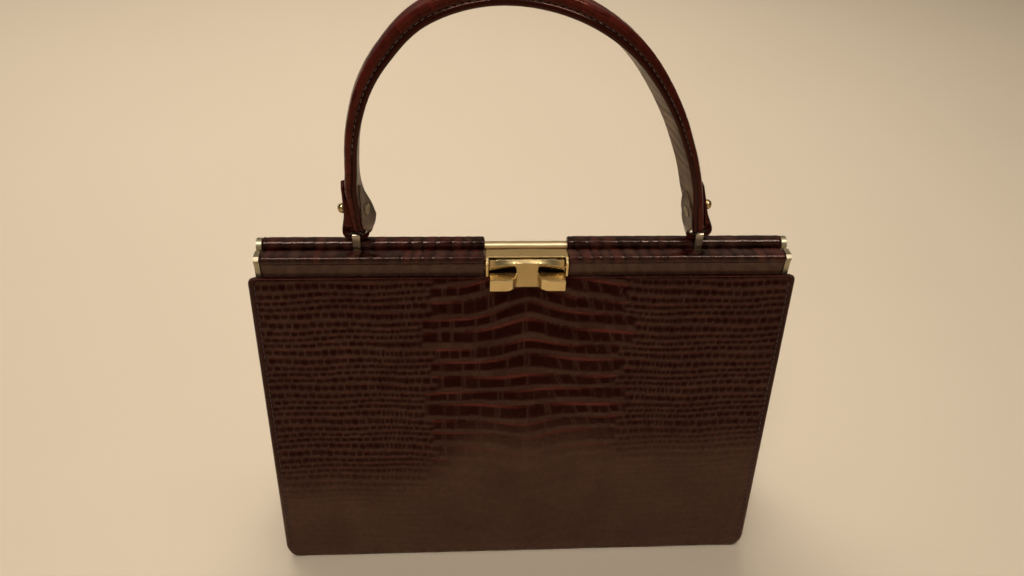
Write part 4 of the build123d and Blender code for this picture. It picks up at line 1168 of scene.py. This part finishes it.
def lining_skin():
    """A pouch with an open top: rings from the rim down, and a floor."""
    foot = [LINING_BOTTOM + 1.2, LINING_BOTTOM + 0.3, LINING_BOTTOM]
    levels = np.concatenate([np.linspace(LINING_TOP, LINING_BOTTOM + 3, 60), foot])
    around = np.linspace(0, 2 * np.pi, 240, endpoint=False)
    across, deep = [np.sign(wave) * np.abs(wave) ** LINING_SQUARENESS for wave in (np.cos(around), np.sin(around))]
    sheets = []
    for inward in (0.0, LINING_THICKNESS):
        rings = []
        for z in levels:
            share = np.clip((z - LINING_BOTTOM) / (PLEAT_HEIGHT - LINING_BOTTOM), 0, 1)
            tuck = 1.6 * max(0.0, 1 - (z - LINING_BOTTOM) / 3.0)
            half_x = between(LINING_FOOT_HALF, LINING_PLEAT_HALF, share) - inward - tuck
            half_y = inside_half_depth(z) - 0.5 - inward - tuck
            folds = 0.5 * np.sin(9 * around + z / 21.0) * np.sin(np.pi * np.clip(z / LINING_TOP, 0, 1))
            x = across * half_x
            y = deep * (half_y - np.abs(folds))
            rings.append(np.stack([x, y, np.full_like(x, max(z, LINING_BOTTOM + inward))], axis=-1))
        sheets.append(np.array(rings))
    rows, columns = sheets[0].shape[:2]
    count = rows * columns
    faces = grid_faces(rows, columns, closed=True) + grid_faces(rows, columns, count, closed=True)
    for k in range(columns):
        following = (k + 1) % columns
        faces.append((k, following, count + following, count + k))
    for start in (0, count):
        faces.append([start + (rows - 1) * columns + k for k in range(columns)])
    return make_object("lining_skin", np.concatenate([s.reshape(-1, 3) for s in sheets]), faces, LINING)


stand_in(lining_skin(), "lining", "bag_body")

FACING_HALF = 124.0


def facing(name, side):
    """Cloth between the lining's rim and the frame, on one panel's inner face."""
    z = np.linspace(LINING_TOP - 6, FRAME_BOTTOM + 3, 40)[:, None]
    x = np.linspace(-FACING_HALF, FACING_HALF, 140)[None, :]
    y = side * (inside_half_depth(z) - 0.25 - 0.15 * (1 + np.sin(x / 6.0 + z / 9.0))) + 0 * x
    outer = np.stack([x + 0 * z, y, z + 0 * x], axis=-1)
    inner = outer - np.array([0, side * LINING_THICKNESS * 0.6, 0])
    piece = shell(name, outer, inner, LINING)
    return piece


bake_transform(facing("front_facing", -1))
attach(facing("back_facing", 1), "bag_body")


# Floor, light and camera
FLOOR_COLOUR = (0.68, 0.58, 0.45)
FLOOR_HALF = 4.0
floor_mesh = bpy.data.meshes.new("floor")
corners = [(x * FLOOR_HALF, y * FLOOR_HALF, 0) for x, y in ((-1, -1), (1, -1), (1, 1), (-1, 1))]
floor_mesh.from_pydata(corners, [], [(0, 1, 2, 3)])
floor = placed("floor", floor_mesh)
floor_material, tree, shader = new_material("floor_cloth")
patch = spread(tree, noise(tree, 3.0, 3.0), 0.0, 0.25)
feed(tree, shader, {
    "Base Color": mixed(tree, patch, FLOOR_COLOUR, (0.9, 0.88, 0.85), "MULTIPLY"),
    "Roughness": 0.9,
    "Specular IOR Level": 0.2,
})
floor_mesh.materials.append(floor_material)

world = bpy.data.worlds.new("studio")
bpy.context.scene.world = world
world.use_nodes = True
world.node_tree.nodes["Background"].inputs["Color"].default_value = (0.80, 0.74, 0.66, 1)
world.node_tree.nodes["Background"].inputs["Strength"].default_value = 0.12


WARM_WHITE = (1.0, 0.93, 0.85)


def area_light(name, place, target, size, power, colour, hidden=(), spread_degrees=180.0):
    """A soft lamp that faces a target, in metres; hidden names the rays that don't see it."""
    data = bpy.data.lights.new(name, "AREA")
    data.shape = "RECTANGLE"
    data.size, data.size_y = size
    data.energy = power
    data.color = colour
    data.spread = math.radians(spread_degrees)
    lamp = placed(name, data)
    lamp.location = place
    lamp.rotation_euler = (Vector(target) - Vector(place)).to_track_quat("-Z", "Y").to_euler()
    for ray in hidden:
        setattr(lamp, f"visible_{ray}", False)


area_light("key", (-0.26, 0.88, 1.7), (-0.26, 0.55, 0.0), (1.4, 1.0), 14.4, (1.0, 0.93, 0.83), ["glossy"], 130.0)
area_light("overhead", (0.05, -0.10, 1.75), (0.05, 0.0, 0.15), (1.6, 0.40), 4.0, WARM_WHITE)
# Two gloss cards, which only show as highlights on rolled leather and leave the clasp between them out.
for name, x in (("gloss_left", -0.37), ("gloss_right", 0.57)):
    area_light(name, (x, -0.43, 1.36), (x, 0.0, 0.19), (0.47, 0.14), 6.4, WARM_WHITE, ["diffuse", "camera"])
area_light("fill", (-0.20, -0.75, 1.35), (0.0, -0.02, 0.12), (0.40, 0.30), 0.9, WARM_WHITE, ["glossy"], 60.0)
# Warm cards behind and in front, which the brass and the leather mirror.
area_light("back_card", (0.0, 1.03, 1.42), (0.0, 0.0, 0.19), (2.4, 1.6), 3.3, (1.0, 0.80, 0.56), ["camera"])
area_light("front_card", (0.0, -1.4, 0.57), (0.0, 0.0, 0.20), (2.4, 0.66), 1.85, (1.0, 0.69, 0.38), ["camera"])

# The camera that was fitted to the panel's edges in the photo
FOCAL_PIXELS = 850.0
IMAGE_WIDTH = 1024.0
SENSOR_WIDTH = 36.0
CAMERA_PLACE = (-0.03269, -0.34914, 0.41817)
PITCH, YAW, ROLL = math.radians(36.0), math.radians(4.312), math.radians(2.117)
forward = Vector((math.sin(YAW) * math.cos(PITCH), math.cos(YAW) * math.cos(PITCH), -math.sin(PITCH)))
level = Vector((math.cos(YAW), -math.sin(YAW), 0))
upright = level.cross(forward)
right = level * math.cos(ROLL) + upright * math.sin(ROLL)
up = upright * math.cos(ROLL) - level * math.sin(ROLL)
camera_data = bpy.data.cameras.new("camera")
camera_data.sensor_width = SENSOR_WIDTH
camera_data.lens = FOCAL_PIXELS / IMAGE_WIDTH * SENSOR_WIDTH
camera_data.clip_start = 0.01
camera = placed("camera", camera_data)
camera.matrix_world = Matrix.Translation(CAMERA_PLACE) @ Matrix((right, up, -forward)).transposed().to_4x4()
bpy.context.scene.camera = camera
bpy.context.scene.view_settings.view_transform = "Standard"
